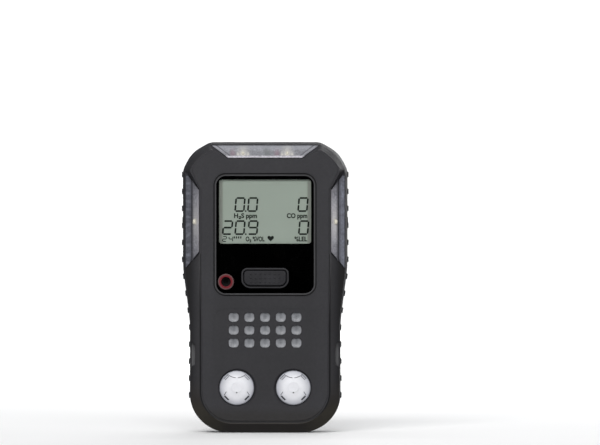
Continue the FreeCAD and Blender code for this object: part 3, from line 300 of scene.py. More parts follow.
# ---- materials -----------------------------------------------------------------------------
def shell_look():
    """Charcoal polycarbonate with a fine spark-eroded grain; painted shade on the bevels below the light
    bars, in the crease round the panel, in the groove round the window's lip and along the bottom; painted
    light on the bevels near the crease, on the lip and, warmer, at the foot.
    """
    look = Look("shell_charcoal", (0.0255, 0.025, 0.0282), 0.55, Specular_IOR_Level=0.18)
    front = look.along("Y", -7.4, -8.2)
    low = look.times(front, look.along("Z", 74.4, 73.4))
    panel = look.beside_box(PANEL_HALF, PANEL_LOW_Z, PANEL_HIGH_Z, PANEL_R)
    # painted shade: the bevels beside and below the panel darker away from its edge
    look.tint(look.times(low, look.between(panel, 2.0, 6.0)), (0.0185, 0.0178, 0.018))
    # painted light on the bevel just outside the panel's crease
    crease_painted_light = look.times(low, look.between(panel, 0.1, 0.5), look.between(panel, 4.6, 0.6))
    look.tint(crease_painted_light, (0.046, 0.045, 0.048))
    # painted shade: darker along the bottom of the front
    look.tint(look.times(front, look.along("Z", 12.0, 6.5)), (0.0185, 0.0172, 0.0168), 0.85)
    look.tint(look.times(low, look.between(panel, -3.0, -9.0)), (0.0222, 0.0217, 0.0243))
    # painted light, warm in tone: floor bounce on the bevel at the foot, stronger towards its outer corners
    foot_painted_light = look.times(front, look.along("Z", 24.0, 10.0), look.between(panel, 0.4, 1.2))
    look.tint(foot_painted_light, (0.037, 0.0325, 0.0295))
    for side in (-1, 1):
        outward = look.along("X", side * 14.0, side * 21.0)
        look.tint(look.times(foot_painted_light, look.along("Z", 14.0, 8.0), outward), (0.05, 0.045, 0.036))
    # painted shade: a thin dark line in the crease round the panel
    crease_painted_shade = look.times(low, look.between(panel, 0.1, 0.3), look.between(panel, 0.9, 0.6))
    look.tint(crease_painted_shade, (0.011, 0.011, 0.012))
    lip = look.beside_box(WINDOW_HIGH.x, WINDOW_LOW.z, WINDOW_HIGH.z, WINDOW_R)
    # painted highlight on the window's lip
    lip_painted_highlight = look.times(front, look.between(lip, 0.0, 0.15), look.between(lip, LIP, LIP - 0.1))
    look.tint(lip_painted_highlight, (0.05, 0.05, 0.052), 0.6)
    # painted shade in the groove round the lip
    groove_end = LIP + LIP_GROOVE
    past_lip = look.between(lip, LIP - 0.02, LIP + 0.05)
    before_panel = look.between(lip, groove_end + 0.02, groove_end - 0.05)
    look.tint(look.times(front, past_lip, before_panel), (0.0025, 0.0025, 0.003))
    look.mottle(60.0, 0.93, 1.06)
    look.mottle(900.0, 0.93, 1.05, detail=2.0)
    look.polish(look.noise(140.0), 0.48, 0.62)
    look.relief(look.cells(2600.0), 0.018, 0.5)
    return look.relief(look.noise(5200.0, 2.0), 0.01, 0.5)


def rubber_look(name, color=(0.016, 0.016, 0.017), roughness=0.72):
    """Moulded rubber with a dusty mottling."""
    look = Look(name, color, roughness, Specular_IOR_Level=0.22)
    look.mottle(220.0, 0.8, 1.25)
    look.polish(look.noise(400.0), roughness - 0.08, min(1.0, roughness + 0.1))
    return look.relief(look.noise(3200.0, 3.0), 0.02, 0.5)


def plastic_look(name, color, roughness=0.45):
    """Plain moulded plastic."""
    look = Look(name, color, roughness)
    look.mottle(120.0, 0.93, 1.05)
    look.polish(look.noise(500.0), roughness - 0.06, roughness + 0.08)
    return look.relief(look.noise(2500.0, 3.0), 0.012, 0.4)


def metal_look(name, color, roughness=0.32, grain=(1, 1, 1), depth=0.004):
    """Metal with a grain that runs where the stretch is smallest."""
    look = Look(name, color, roughness, metallic=1.0)
    streaks = look.noise(1800.0, 5.0, grain, rough=0.7)
    look.mottle(90.0, 0.88, 1.05, stretch=grain)
    look.polish(streaks, roughness - 0.1, roughness + 0.14)
    return look.relief(streaks, depth, 0.5)


def catch_look():
    """Blackened steel plate, with painted shade where it dives under the rubber."""
    look = metal_look("catch_steel", (0.085, 0.085, 0.088), 0.5, (1, 1, 0.1)).fold_x()
    # painted shade where the plate dives under the rubber
    return look.tint(look.along("X", 30.2, 30.6), (0.004, 0.004, 0.004))


def clear_look(name, color, alpha, roughness=0.04):
    """Clear glossy plastic that lets the lights through."""
    look = Look(name, color, roughness, Alpha=alpha, IOR=1.49)
    look.polish(look.noise(90.0), roughness, roughness + 0.03)
    return look.mottle(200.0, 0.95, 1.0)


def window_look():
    """Clear window with an anti-glare hard coat."""
    look = Look("window_clear", (0.002, 0.002, 0.002), 0.05, Alpha=0.04, Specular_IOR_Level=0.04)
    look.polish(look.noise(90.0), 0.04, 0.09)
    return look.mottle(200.0, 0.9, 1.0)


def bar_look():
    """Light bar: clear grey plastic with a faint lilac tint and flow marks."""
    look = Look("light_bar_clear", (0.22, 0.22, 0.25), 0.12, Alpha=0.2, IOR=1.5)
    look.mottle(260.0, 0.7, 1.15, detail=6.0)
    look.polish(look.noise(350.0), 0.08, 0.24)
    return look.relief(look.noise(700.0, 4.0), 0.02, 0.4)


def board_look():
    """Green solder mask over copper tracks, with small pads."""
    look = Look("board_green", (0.012, 0.12, 0.045), 0.35)
    tracks = look.ramp(look.waves(260.0, "X", 6.0), (0.55, (0, 0, 0)), (0.62, (1, 1, 1)))
    look.tint(tracks, (0.02, 0.2, 0.07))
    pads = look.ramp(look.cells(420.0), (0.12, (1, 1, 1)), (0.16, (0, 0, 0)))
    look.tint(pads, (0.75, 0.6, 0.25))
    return look.relief(tracks, 0.02, 0.4)


def cell_look():
    """Shrink-wrapped cell with a darker band."""
    look = Look("cell_sleeve", (0.03, 0.11, 0.3), 0.3)
    look.tint(look.ramp(look.waves(40.0, "X"), (0.7, (0, 0, 0)), (0.72, (1, 1, 1))), (0.02, 0.05, 0.16))
    look.mottle(300.0, 0.9, 1.05)
    return look.relief(look.noise(600.0), 0.02, 0.3)


def cover_look():
    """White inlet cover: satin with a fine speckle, darker on the floors of its grooves, with painted shade
    round its rim.
    """
    look = Look("cover_white", (0.65, 0.652, 0.68), 0.4, Specular_IOR_Level=0.4)
    look.tint(look.ramp(look.cells(1900.0), (0.1, (1, 1, 1)), (0.3, (0, 0, 0))), (0.42, 0.43, 0.46), 0.25)
    middle = (COVER_LOW + COVER_HIGH) / 2
    centre = (middle.x, COVER_LOW.y + COVER_EYE_PROUD + COVER_DOME_R, middle.z)
    look.fold_x()
    # painted shade round the dome's rim
    look.tint(look.round_axis(middle.x, middle.z, 3.5, COVER_R), (0.3, 0.31, 0.35), 0.8)
    # darker on the floors of the grooves
    look.tint(look.inside(centre, COVER_DOME_R - 0.05, 0.4), (0.035, 0.038, 0.048))
    look.mottle(420.0, 0.95, 1.02)
    return look.relief(look.noise(2600.0, 3.0), 0.015, 0.5)


def filter_look():
    """Grey filter, woven at a fine pitch, with painted light where its surface leans left or right."""
    look = Look("filter_grey", (0.122, 0.127, 0.139), 0.42, Specular_IOR_Level=0.5)
    # painted light: lighter where the surface's normal leans left or right
    split = look.node("ShaderNodeSeparateXYZ")
    look.link(look.tree.nodes["Texture Coordinate"].outputs["Normal"], split.inputs["Vector"])
    lean = look.math("ABSOLUTE", split.outputs["X"])
    look.tint(look.ramp(lean, (0.02, (0, 0, 0)), (0.38, (1, 1, 1))), (0.225, 0.23, 0.245))
    look.mottle(700.0, 0.85, 1.1)
    weave = look.math("MULTIPLY", look.waves(420.0, "X"), look.waves(420.0, "Z"))
    return look.relief(weave, 0.01, 0.3)


def display_look():
    """Liquid crystal background: grey-green, with painted shadow of the mask down both sides and along the
    top.
    """
    look = Look("display_glass", (0.268, 0.312, 0.268), 0.3, Specular_IOR_Level=0.3)
    # painted shadow of the mask down both sides
    for side in (-1, 1):
        look.tint(look.along("X", side * 17.0, side * 17.9), (0.15, 0.16, 0.14), 0.85)
    # painted shadow of the mask along the top
    look.tint(look.along("Z", 102.9, 104.2), (0.2, 0.235, 0.2), 0.7)
    look.mottle(60.0, 0.98, 1.02)
    return look.relief(look.noise(3000.0, 2.0), 0.004, 0.3)


def foam_look():
    """Open-cell foam."""
    look = Look("foam_black", (0.02, 0.02, 0.021), 0.9)
    look.mottle(600.0, 0.7, 1.3)
    return look.relief(look.cells(1500.0), 0.12, 0.8)


def boot_look():
    """Red silicone, paler round its outer edge, with painted shade inside the bore."""
    look = Look("boot_silicone", (0.128, 0.0068, 0.0122), 0.5, Specular_IOR_Level=0.15)
    middle = (BOOT_LOW + BOOT_HIGH) / 2
    rim = (BOOT_HIGH.x - BOOT_LOW.x) / 2
    look.tint(look.round_axis(middle.x, middle.z, rim - 0.75, rim - 0.3), (0.085, 0.055, 0.055), 0.85)
    # painted shade inside the bore
    look.tint(look.round_axis(middle.x, middle.z, rim - 1.1, rim - 1.5), (0.012, 0.001, 0.002), 0.95)
    look.mottle(500.0, 0.85, 1.1)
    return look.relief(look.noise(2500.0), 0.01, 0.4)


def label_look():
    """Blank silver film."""
    look = Look("label_film", (0.55, 0.555, 0.56), 0.38, metallic=0.35)
    look.mottle(900.0, 0.94, 1.04)
    return look.relief(look.noise(1500.0), 0.006, 0.3)


def ink_look():
    """Black print behind the window, dull enough to stay black under the lights."""
    look = Look("mask_ink", (0.0004, 0.0004, 0.0004), 0.9, Specular_IOR_Level=0.0)
    return look.mottle(300.0, 0.8, 1.0)


def sounder_look():
    """Dark plastic deep inside the sounder port."""
    look = Look("sounder_plastic", (0.002, 0.002, 0.002), 0.6, Specular_IOR_Level=0.1)
    return look.mottle(300.0, 0.8, 1.2)


def slot_materials():
    """One material for each of the record's slots."""
    return {
        "shell_charcoal": shell_look(),
        "grip_rubber": rubber_look("grip_rubber", (0.019, 0.019, 0.021)),
        "light_bar_clear": bar_look(),
        "led_resin": plastic_look("led_resin", (0.8, 0.66, 0.36), 0.2),
        "window_clear": window_look(),
        "mask_ink": ink_look(),
        "display_glass": display_look(),
        "light_guide": plastic_look("light_guide", (0.75, 0.78, 0.74), 0.3),
        "carrier_plastic": plastic_look("carrier_plastic", (0.6, 0.6, 0.57)),
        "contact_elastomer": rubber_look("contact_elastomer", (0.35, 0.12, 0.14)),
        "button_rubber": rubber_look("button_rubber", (0.0125, 0.0122, 0.0145), 0.62),
        "switch_plastic": plastic_look("switch_plastic", (0.03, 0.03, 0.03)),
        "sounder_plastic": sounder_look(),
        "boot_silicone": boot_look(),
        "filter_grey": filter_look(),
        "cover_white": cover_look(),
        "foam_black": foam_look(),
        "sensor_body": plastic_look("sensor_body", (0.6, 0.6, 0.57)),
        "contact_metal": metal_look("contact_metal", (0.86, 0.66, 0.3), 0.25),
        "board_green": board_look(),
        "chip_black": plastic_look("chip_black", (0.015, 0.015, 0.016), 0.55),
        "flex_amber": clear_look("flex_amber", (0.5, 0.2, 0.03), 0.85, 0.25),
        "cell_sleeve": cell_look(),
        "nickel": metal_look("nickel", (0.66, 0.64, 0.6), 0.3),
        "motor_can": metal_look("motor_can", (0.6, 0.6, 0.62), 0.28, (1, 1, 1)),
        "weight_metal": metal_look("weight_metal", (0.3, 0.3, 0.31), 0.5),
        "screw_steel": metal_look("screw_steel", (0.34, 0.34, 0.35), 0.34),
        "insert_brass": metal_look("insert_brass", (0.75, 0.55, 0.24), 0.35),
        "catch_steel": catch_look(),
        "label_film": label_look(),
        "ir_plastic": Look("ir_plastic", (0.012, 0.003, 0.005), 0.12).mottle(300.0, 0.8, 1.2),
        "clip_steel": metal_look("clip_steel", (0.62, 0.62, 0.63), 0.34, (1, 1, 0.04), 0.006),
    }


def dress_nodes(looks):
    """Gives every CAD node the material of its slot."""
    for row in frame["record"]["subparts"]:
        node = NODES[row["node"]]
        node.data.materials.clear()
        node.data.materials.append(looks[row["material_slot"]].material)
        even = node.modifiers.new("even_normals", "WEIGHTED_NORMAL")
        even.mode = "FACE_AREA"
        even.weight = 80


# ---- mesh helpers ------------------------------------------------------------------------------
def add_piece(name, verts, faces, look, body="case"):
    """A mesh from millimetre vertices that rides on a body, or on none when no body is given."""
    mesh = bpy.data.meshes.new(name)
    mesh.from_pydata([Vector(v) * MM for v in verts], [], faces)
    mesh.validate()
    mesh.materials.append(look.material)
    piece = bpy.data.objects.new(name, mesh)
    bpy.context.scene.collection.objects.link(piece)
    if body is not None:
        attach(piece, body)
    return piece


def prisms(outlines, y0, y1):
    """Vertices and faces of flat prisms from (x, z) outlines, drawn anticlockwise from the front."""
    verts, faces = [], []
    for outline in outlines:
        first, n = len(verts), len(outline)
        verts += [(x, y0, z) for x, z in outline] + [(x, y1, z) for x, z in outline]
        faces.append(tuple(first + i for i in range(n)))
        faces.append(tuple(first + n + i for i in reversed(range(n))))
        faces += [(first + (i + 1) % n, first + i, first + n + i, first + n + (i + 1) % n) for i in range(n)]
    return verts, faces


def ellipse(x, z, rx, rz, count=24):
    """Points round an ellipse."""
    angles = [2 * math.pi * i / count for i in range(count)]
    return [(x + rx * math.cos(a), z + rz * math.sin(a)) for a in angles]


# ---- display ---------------------------------------------------------------------------------
SEGMENTS = {"0": "abcdef", "2": "abdeg", "4": "bcfg", "9": "abcdfg"}


def segment(name, width, height, stroke):
    """Outline of one of the seven bars in an upright digit with its corner at (0, 0)."""
    half = stroke / 2
    middle = height / 2
    ends = {
        "a": ((half, height - half), (width - half, height - half)),
        "b": ((width - half, height - half), (width - half, middle)),
        "c": ((width - half, middle), (width - half, half)),
        "d": ((half, half), (width - half, half)),
        "e": ((half, middle), (half, half)),
        "f": ((half, height - half), (half, middle)),
        "g": ((half, middle), (width - half, middle)),
    }[name]
    start, end = Vector(ends[0]), Vector(ends[1])
    run = (end - start).normalized()
    across = Vector((-run.y, run.x)) * half
    start, end = start + run * DIGIT_GAP * stroke, end - run * DIGIT_GAP * stroke
    tip = run * half * 0.7
    return [start, start + tip - across, end - tip - across, end, end - tip + across, start + tip + across]


def digit(char, x, z, width=DIGIT_W, height=DIGIT_H, stroke=DIGIT_STROKE):
    """Outlines of a slanted seven-segment digit whose foot starts at (x, z)."""
    made = []
    for name in SEGMENTS[char]:
        corners = segment(name, width, height, stroke)
        made.append([(x + p.x + p.y * SLANT, z + p.y) for p in corners])
    return made


def heart(x, z, size, count=40):
    """A heart about its middle."""
    points = []
    for i in range(count):
        t = 2 * math.pi * i / count
        px = 16 * math.sin(t) ** 3
        pz = 13 * math.cos(t) - 5 * math.cos(2 * t) - 2 * math.cos(3 * t) - math.cos(4 * t)
        points.append((x - px * size / 32, z + pz * size / 32))
    return points


def lettering(words, look, y, name):
    """Flat text pieces (text, x of its left and right end, z of its foot, cap height) in one mesh."""
    verts, faces = [], []
    for text, x0, x1, z, cap in words:
        curve = bpy.data.curves.new("text", "FONT")
        curve.body = text
        curve.size = cap / 0.7
        curve.offset = LETTER_BOLD
        holder = bpy.data.objects.new("text", curve)
        bpy.context.scene.collection.objects.link(holder)
        graph = bpy.context.evaluated_depsgraph_get()
        mesh = bpy.data.meshes.new_from_object(holder.evaluated_get(graph))
        left = min(v.co.x for v in mesh.vertices)
        narrow = (x1 - x0) / (max(v.co.x for v in mesh.vertices) - left)
        first = len(verts)
        verts += [(x0 + (v.co.x - left) * narrow, y, z + v.co.y) for v in mesh.vertices]
        faces += [tuple(first + i for i in p.vertices) for p in mesh.polygons]
        bpy.data.objects.remove(holder)
    piece = add_piece(name, verts, faces, look)
    thicken(piece, INK_T)
    return piece


def thicken(piece, depth):
    """Gives a flat piece a thickness, towards +Y."""
    solid = piece.modifiers.new("thickness", "SOLIDIFY")
    solid.thickness = depth * MM
    solid.offset = -1.0


def build_display():
    """Digits, unit names and the heart, as segments just in front of the display's glass."""
    ink = Look("display_ink", (0.006, 0.009, 0.007), 0.6, Specular_IOR_Level=0.1).mottle(800.0, 0.85, 1.1)
    y0, y1 = LCD_FACE_Y - 2 * INK_T, LCD_FACE_Y - INK_T
    upper, lower = 91.05, 81.55
    outlines = digit("0", -12.75, upper) + digit("0", -7.5, upper) + digit("0", 13.2, upper)
    outlines += digit("2", -17.85, lower) + digit("0", -12.75, lower) + digit("9", -7.4, lower)
    outlines += digit("0", 13.5, lower)
    for x, z in ((-8.0, upper), (-7.95, lower)):
        outlines.append(ellipse(x, z + 0.36, 0.36, 0.36, 12))
    outlines += digit("2", -17.75, 78.7, 1.9, 2.4, 0.36) + digit("4", -15.2, 78.7, 1.9, 2.4, 0.36)
    for x in (-13.0, -12.1, -11.2, -10.3):
        outlines.append([(x, 80.1), (x + 0.5, 80.1), (x + 0.58, 81.0), (x + 0.08, 81.0)])
    outlines.append(heart(2.3, 80.2, 2.7))
    verts, faces = prisms(outlines, y0, y1)
    add_piece("display_segments", verts, faces, ink)
    words = [
        ("H₂S ppm", -12.8, -3.3, 88.6, 1.85),
        ("CO ppm", 8.95, 17.4, 88.6, 1.85),
        ("O₂ %VOL", -8.0, -0.2, 79.0, 1.85),
        ("%LEL", 12.1, 17.4, 79.0, 1.85),
    ]
    lettering(words, ink, y0, "display_units")


# ---- light bars --------------------------------------------------------------------------------
BEVEL_SLOPE = 8.0 / 7.0  # depth per width of the bevel beside the display
BEVEL_FOOT_X = 33.1
BEVEL_FOOT_Y = -8.0
TOP_SLOPE = 8.0 / 6.0  # and above it
TOP_FOOT_Z = 118.9
LAMP_Z = 87.0
LAMP_X = 28.9
TOP_LAMP_X = 9.1
TOP_END_X = 15.0  # half length of the top bar at its foot, and how fast it widens
TOP_END_SLOPE = 1.32
LAMP_HALO = 2.2  # glow round each lamp


def side_y(x):
    """The bevel's surface at a distance x from the middle, beside the display."""
    return BEVEL_FOOT_Y - (BEVEL_FOOT_X - x) * BEVEL_SLOPE


def top_y(z):
    """The bevel's surface at a height, over the display."""
    return BEVEL_FOOT_Y - (TOP_FOOT_Z - z) * TOP_SLOPE


def bar_inner_x(z):
    """Inner edge of a side bar, which slants out at both ends."""
    low = 27.45 + max(0.0, 74.6 - z) * 0.84
    high = 27.45 + max(0.0, z - 100.0) * 0.755
    return max(low, high)


def sheet(name, rows, look, side=1):
    """A thin folded sheet through rows of points, given a thickness towards the inside."""
    verts, faces = [], []
    n = len(rows[0])
    for row in rows:
        verts += [(side * x, y, z) for x, y, z in row]
    for r in range(len(rows) - 1):
        for i in range(n - 1):
            a = r * n + i
            quad = (a, a + 1, a + n + 1, a + n)
            faces.append(quad if side > 0 else quad[::-1])
    piece = add_piece(name, verts, faces, look)
    thicken(piece, 0.25)
    return piece


def side_optic(side, name, x_from, x_to, depth, ridge, pitch, look):
    """A sheet inside a side bar, pleated across it, between two distances from the middle."""
    rows = []
    z, i = 68.2, 0
    while z < 107.0:
        start = min(max(x_from, bar_inner_x(z)), x_to - 0.02)
        fold = ridge if i % 2 else 0.0
        rows.append([(x, side_y(x) + depth + fold, z) for x in (start, (start + x_to) / 2, x_to)])
        z, i = z + pitch / 2, i + 1
    return sheet(name, rows, look, side)


def top_optic(name, z_from, z_to, depth, ridge, pitch, look):
    """A sheet inside the top bar, pleated across it, between two heights."""
    rows = []
    for z in (z_from, (z_from + z_to) / 2, z_to):
        half = TOP_END_X + (z - 113.35) * TOP_END_SLOPE
        row = []
        for i in range(121):
            x = -half + 2 * half * i / 120
            fold = ridge * (0.5 - 0.5 * math.cos(2 * math.pi * x / pitch))
            row.append((x, top_y(z) + depth + fold, z))
        rows.append(row)
    return sheet(name, rows, look)


def optic_look(name, base, band, amount):
    """Cloudy plastic behind a bar, with paler ticks across it."""
    look = Look(name, base, 0.45, Specular_IOR_Level=0.4)
    look.mottle(1300.0, 0.6, 1.35, detail=5.0)
    look.mottle(330.0, 0.75, 1.2)
    ticks = look.ramp(look.waves(87.0, "Z", 4.0), (0.6, (0, 0, 0)), (0.95, (1, 1, 1)))
    look.tint(ticks, band, amount)
    return look.relief(look.noise(1300.0), 0.03, 0.6)


def side_looks(side, word):
    """Inner and outer sheet of a side bar: painted lamp glow, brightest by the lamp and fading above and
    below it, and lighter along the inner edge.
    """
    lamp = (side * LAMP_X, side_y(LAMP_X) + 0.6, LAMP_Z)
    gain = 2.45 if side > 0 else 1.45  # the right one faces away from the key light
    inner = optic_look(f"{word}_inner", [v * gain for v in (0.2, 0.197, 0.215)], (0.4, 0.4, 0.42), 0.25)
    # painted glow round the lamp, which is not lit: a wide pool and a warm halo close to it
    inner.tint(inner.spot(lamp, 11.0, (1, 0, 1)), [v * gain for v in (0.34, 0.33, 0.33)], 0.85)
    inner.tint(inner.spot(lamp, LAMP_HALO, (1, 0, 1)), (0.6, 0.57, 0.5), 0.7)
    inner.tint(inner.along("X", side * 28.1, side * 27.6), (0.5, 0.48, 0.52), 0.5)
    inner.tint(inner.along("X", side * 28.9, side * 30.1), (0.05, 0.05, 0.06), 0.75)
    # darker above and below the lamp, where the painted glow fades
    inner.tint(inner.along("Z", 94.0, 106.0), (0.06, 0.06, 0.07), 0.8)
    inner.tint(inner.along("Z", 80.0, 69.0), (0.05, 0.05, 0.06), 0.8)
    # painted light: the right bar's outer sheet is painted brighter, as it faces away from the key light
    outer_gain = 2.0 if side > 0 else 1.0
    outer_base = [v * outer_gain for v in (0.115, 0.12, 0.145)]
    outer = optic_look(f"{word}_outer", outer_base, (0.27, 0.28, 0.33), 0.5)
    outer.tint(outer.along("X", side * 31.6, side * 30.6), (0.04, 0.04, 0.05), 0.6)
    return inner, outer


def top_looks():
    """Cloud and bright edge of the top bar, with painted lamp glow in soft streaks over the lamps."""
    cloud = optic_look("top_cloud", (0.29, 0.295, 0.32), (0.3, 0.3, 0.33), 0.3)
    cloud.tint(cloud.along("Z", 116.9, 115.0), (0.16, 0.158, 0.172), 0.5)
    cloud.tint(cloud.along("Z", 116.6, 118.2), (0.35, 0.36, 0.39), 0.6)
    tall = (1, 0, 0.6)
    cloud.tint(cloud.spot((0.8, top_y(115.2), 115.2), 2.6, tall), (0.1, 0.112, 0.105), 0.6)
    for x in (-13.3, 4.9):
        cloud.tint(cloud.spot((x, top_y(115.0), 115.0), 1.9, tall), (0.26, 0.15, 0.19), 0.7)
    # painted glow: soft warm streaks over each lamp, which is not lit
    for side in (-1, 1):
        for shift, radius, light in ((0.0, 3.8, 0.5), (-2.1, 0.9, 0.75), (2.1, 0.9, 0.75), (0.0, 1.7, 0.95)):
            place = (side * TOP_LAMP_X + shift, top_y(114.7) + 0.5, 114.7)
            cloud.tint(cloud.spot(place, radius, tall), (0.74, 0.71, 0.64), light)
    split = cloud.node("ShaderNodeSeparateXYZ")
    cloud.link(cloud.place, split.inputs["Vector"])
    from_middle = cloud.math("ABSOLUTE", split.outputs["X"])
    widening = cloud.math("MULTIPLY", split.outputs["Z"], TOP_END_SLOPE)
    out = cloud.math("SUBTRACT", from_middle, widening)
    end = TOP_END_X - TOP_END_SLOPE * 113.35
    past_start = cloud.between(out, end - 2.4, end - 1.9)
    before_end = cloud.between(out, end - 1.2, end - 1.6)
    fold = cloud.math("MULTIPLY", past_start, before_end)
    cloud.tint(fold, (0.06, 0.06, 0.07), 0.8)
    edge = optic_look("top_edge", (0.62, 0.6, 0.65), (0.4, 0.38, 0.4), 0.2)
    return cloud, edge


def lamp_piece(name, x, y, z, radius, height, look):
    """A domed lamp, stretched along z."""
    rings, count = 5, 20
    verts = [(x, y - radius * 0.6, z)]
    for r in range(1, rings + 1):
        a = math.pi / 2 * r / rings
        for i in range(count):
            t = 2 * math.pi * i / count
            across, up = radius * math.sin(a) * math.cos(t), height * math.sin(a) * math.sin(t)
            verts.append((x + across, y - radius * 0.6 * math.cos(a), z + up))
    faces = [(0, 1 + i, 1 + (i + 1) % count) for i in range(count)]
    for r in range(rings - 1):
        a, b = 1 + r * count, 1 + (r + 1) * count
        faces += [(a + i, b + i, b + (i + 1) % count, a + (i + 1) % count) for i in range(count)]
    faces.append(tuple(reversed(range(1 + (rings - 1) * count, 1 + rings * count))))
    return add_piece(name, verts, faces, look)


def build_bars():
    """Reflectors, light pipes and lamps inside the three light bars."""
    warm = Look("lamp_lens", (0.6, 0.57, 0.48), 0.5, Specular_IOR_Level=0.2)
    warm.mottle(900.0, 0.8, 1.05)
    for side, word in ((1, "right"), (-1, "left")):
        inner, outer = side_looks(side, word)
        side_optic(side, f"{word}_bar_inner", 27.45, 29.9, 0.5, 0.1, 0.8, inner)
        side_optic(side, f"{word}_bar_outer", 30.7, 32.8, 0.7, 0.3, 3.6, outer)
        lamp_piece(f"{word}_bar_lamp", side * LAMP_X, side_y(LAMP_X) + 0.6, LAMP_Z, 1.0, 1.2, warm)
    cloud, edge = top_looks()
    top_optic("top_bar_cloud", 114.35, 118.5, 0.5, 0.25, 1.6, cloud)
    top_optic("top_bar_edge", 113.5, 114.25, 0.35, 0.03, 1.6, edge)
    for side, word in ((1, "right"), (-1, "left")):
        z = 115.0
        lamp_piece(f"top_bar_{word}_lamp", side * TOP_LAMP_X, top_y(z) + 0.5, z, 0.6, 0.9, warm)


# ---- clip spring -------------------------------------------------------------------------------
PIN_Y = 18.7  # the clip's pin, which the spring is wound on
PIN_Z = 90.0
COIL_R = 1.95
COIL_TURNS = 4.5
COIL_PITCH = 1.2
COIL_LENGTH = COIL_TURNS * COIL_PITCH
LEG_LENGTH = 8.7
WIRE_R = 0.4
WIRE_SIDES = 14


def spring_path():
    """Points along the wire, each with the direction away from the coil's axis."""
    points = [((-COIL_LENGTH / 2, PIN_Y - COIL_R, PIN_Z + LEG_LENGTH), Vector((0, -1, 0)))]
    steps = int(COIL_TURNS * 32)
    for i in range(steps + 1):
        angle = 2 * math.pi * COIL_TURNS * i / steps
        outward = Vector((0, -math.cos(angle), -math.sin(angle)))
        centre = Vector((COIL_LENGTH * (i / steps - 0.5), PIN_Y, PIN_Z))
        points.append((tuple(centre + COIL_R * outward), outward))
    points.append(((COIL_LENGTH / 2, PIN_Y + COIL_R, PIN_Z + LEG_LENGTH), Vector((0, 1, 0))))
    return points


def build_spring(look):
    """The clip's torsion spring: a wire wound on the clip's pin with a leg at each end, in place of the CAD
    spring.
    """
    path = spring_path()
    verts = []
    for i, (place, outward) in enumerate(path):
        before, after = path[max(i - 1, 0)][0], path[min(i + 1, len(path) - 1)][0]
        across = (Vector(after) - Vector(before)).normalized().cross(outward)
        for k in range(WIRE_SIDES):
            angle = 2 * math.pi * k / WIRE_SIDES
            rim = outward * math.cos(angle) + across * math.sin(angle)
            verts.append(tuple(Vector(place) + WIRE_R * rim))
    faces = [tuple(reversed(range(WIRE_SIDES)))]
    for i in range(len(path) - 1):
        a, b = i * WIRE_SIDES, (i + 1) * WIRE_SIDES
        for k in range(WIRE_SIDES):
            after = (k + 1) % WIRE_SIDES
            faces.append((a + k, a + after, b + after, b + k))
    faces.append(tuple(range(len(verts) - WIRE_SIDES, len(verts))))
    spring = add_piece("clip_spring_wire", verts, faces, look, body=None)
    spring.data.shade_smooth()
    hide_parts("clip_spring")
    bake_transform(spring)


# ---- studio --------------------------------------------------------------------------------------
CAMERA_DISTANCE = 2.5  # metres, far enough for the flat perspective of a long lens
FRAME_WIDTH = 247.0  # width of the view at the object
VIEW_X, VIEW_Z = 14.39, 86.7  # where the middle of the view meets the object
COVE_FLAT, COVE_ROUND, COVE_HIGH = 3.4, 1.2, 4.5  # the round studio's floor, corner and wall, in metres


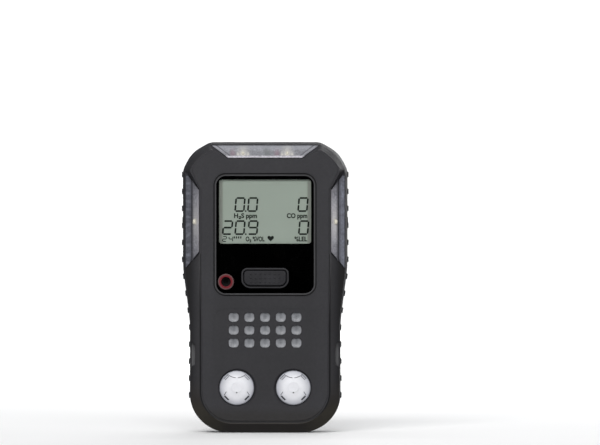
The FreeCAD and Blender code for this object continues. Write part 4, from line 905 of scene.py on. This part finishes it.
def build_studio():
    """Round cove of pale floor and wall, soft lights and a long lens straight on."""
    pale = Look("studio_floor", (0.93, 0.93, 0.93), 0.8, Specular_IOR_Level=0.1).mottle(6.0, 0.985, 1.0)
    profile = [(0.0, 0.0), (COVE_FLAT, 0.0)]
    for i in range(1, 13):
        angle = math.pi / 2 * i / 12
        profile.append((COVE_FLAT + COVE_ROUND * math.sin(angle), COVE_ROUND * (1 - math.cos(angle))))
    profile.append((COVE_FLAT + COVE_ROUND, COVE_HIGH))
    count = 96
    step = 2 * math.pi / count
    verts = [(0.0, 0.0, 0.0)]
    for r, z in profile[1:]:
        verts += [(r * math.cos(step * i), r * math.sin(step * i), z) for i in range(count)]
    faces = [(0, 1 + i, 1 + (i + 1) % count) for i in range(count)]
    for k in range(len(profile) - 2):
        a, b = 1 + k * count, 1 + (k + 1) * count
        faces += [(a + i, b + i, b + (i + 1) % count, a + (i + 1) % count) for i in range(count)]
    mesh = bpy.data.meshes.new("studio_floor")
    mesh.from_pydata(verts, [], faces)
    mesh.shade_smooth()
    mesh.materials.append(pale.material)
    floor = bpy.data.objects.new("studio_floor", mesh)
    floor.location.z = -0.00005
    floor.visible_diffuse = False  # the object is lit by the lamps, not by the white room
    floor.visible_glossy = False
    floor.visible_transmission = False
    floor.visible_shadow = False
    bpy.context.scene.collection.objects.link(floor)

    area_light("key", (-0.35, -2.2, 1.35), (1.6, 1.1), 62.0)
    area_light("fill", (0.9, -2.3, 1.0), (1.0, 1.0), 12.0)
    area_light("top", (0.0, 0.4, 2.2), (2.4, 1.6), 7.0)
    area_light("rear", (0.6, 2.4, 0.6), (1.4, 0.9), 22.0)
    area_light("bounce", (0.0, -1.7, -0.6), (1.8, 0.6), 6.0)
    area_light("wall_wash", (0.0, 1.4, 2.4), (3.0, 0.8), 134.0, target=(0.0, 4.3, 0.3))

    world = bpy.data.worlds.new("studio_world")
    world.use_nodes = True
    world.node_tree.nodes["Background"].inputs["Color"].default_value = (0.85, 0.87, 0.9, 1.0)
    world.node_tree.nodes["Background"].inputs["Strength"].default_value = 0.2
    bpy.context.scene.world = world
    bpy.context.scene.view_settings.view_transform = "Standard"

    lens = bpy.data.cameras.new("camera")
    lens.sensor_width = 36.0
    lens.lens = 36.0 * CAMERA_DISTANCE / (FRAME_WIDTH * MM)
    lens.clip_end = 20.0
    camera = bpy.data.objects.new("camera", lens)
    camera.location = (VIEW_X * MM, cad_low.y - CAMERA_DISTANCE, VIEW_Z * MM)
    camera.rotation_euler = (math.pi / 2, 0.0, 0.0)
    bpy.context.scene.collection.objects.link(camera)
    bpy.context.scene.camera = camera


def area_light(name, place, size, power, target=(0.0, 0.0, 0.06)):
    """A rectangular softbox aimed at a point, in metres and watts."""
    data = bpy.data.lights.new(name, "AREA")
    data.shape = "RECTANGLE"
    data.size, data.size_y = size
    data.energy = power
    light = bpy.data.objects.new(name, data)
    light.location = place
    light.rotation_euler = (Vector(target) - Vector(place)).to_track_quat("-Z", "Y").to_euler()
    bpy.context.scene.collection.objects.link(light)


# ---- the scene --------------------------------------------------------------------------------
looks = slot_materials()
dress_nodes(looks)
build_display()
build_bars()
build_spring(looks["clip_steel"])
build_studio()
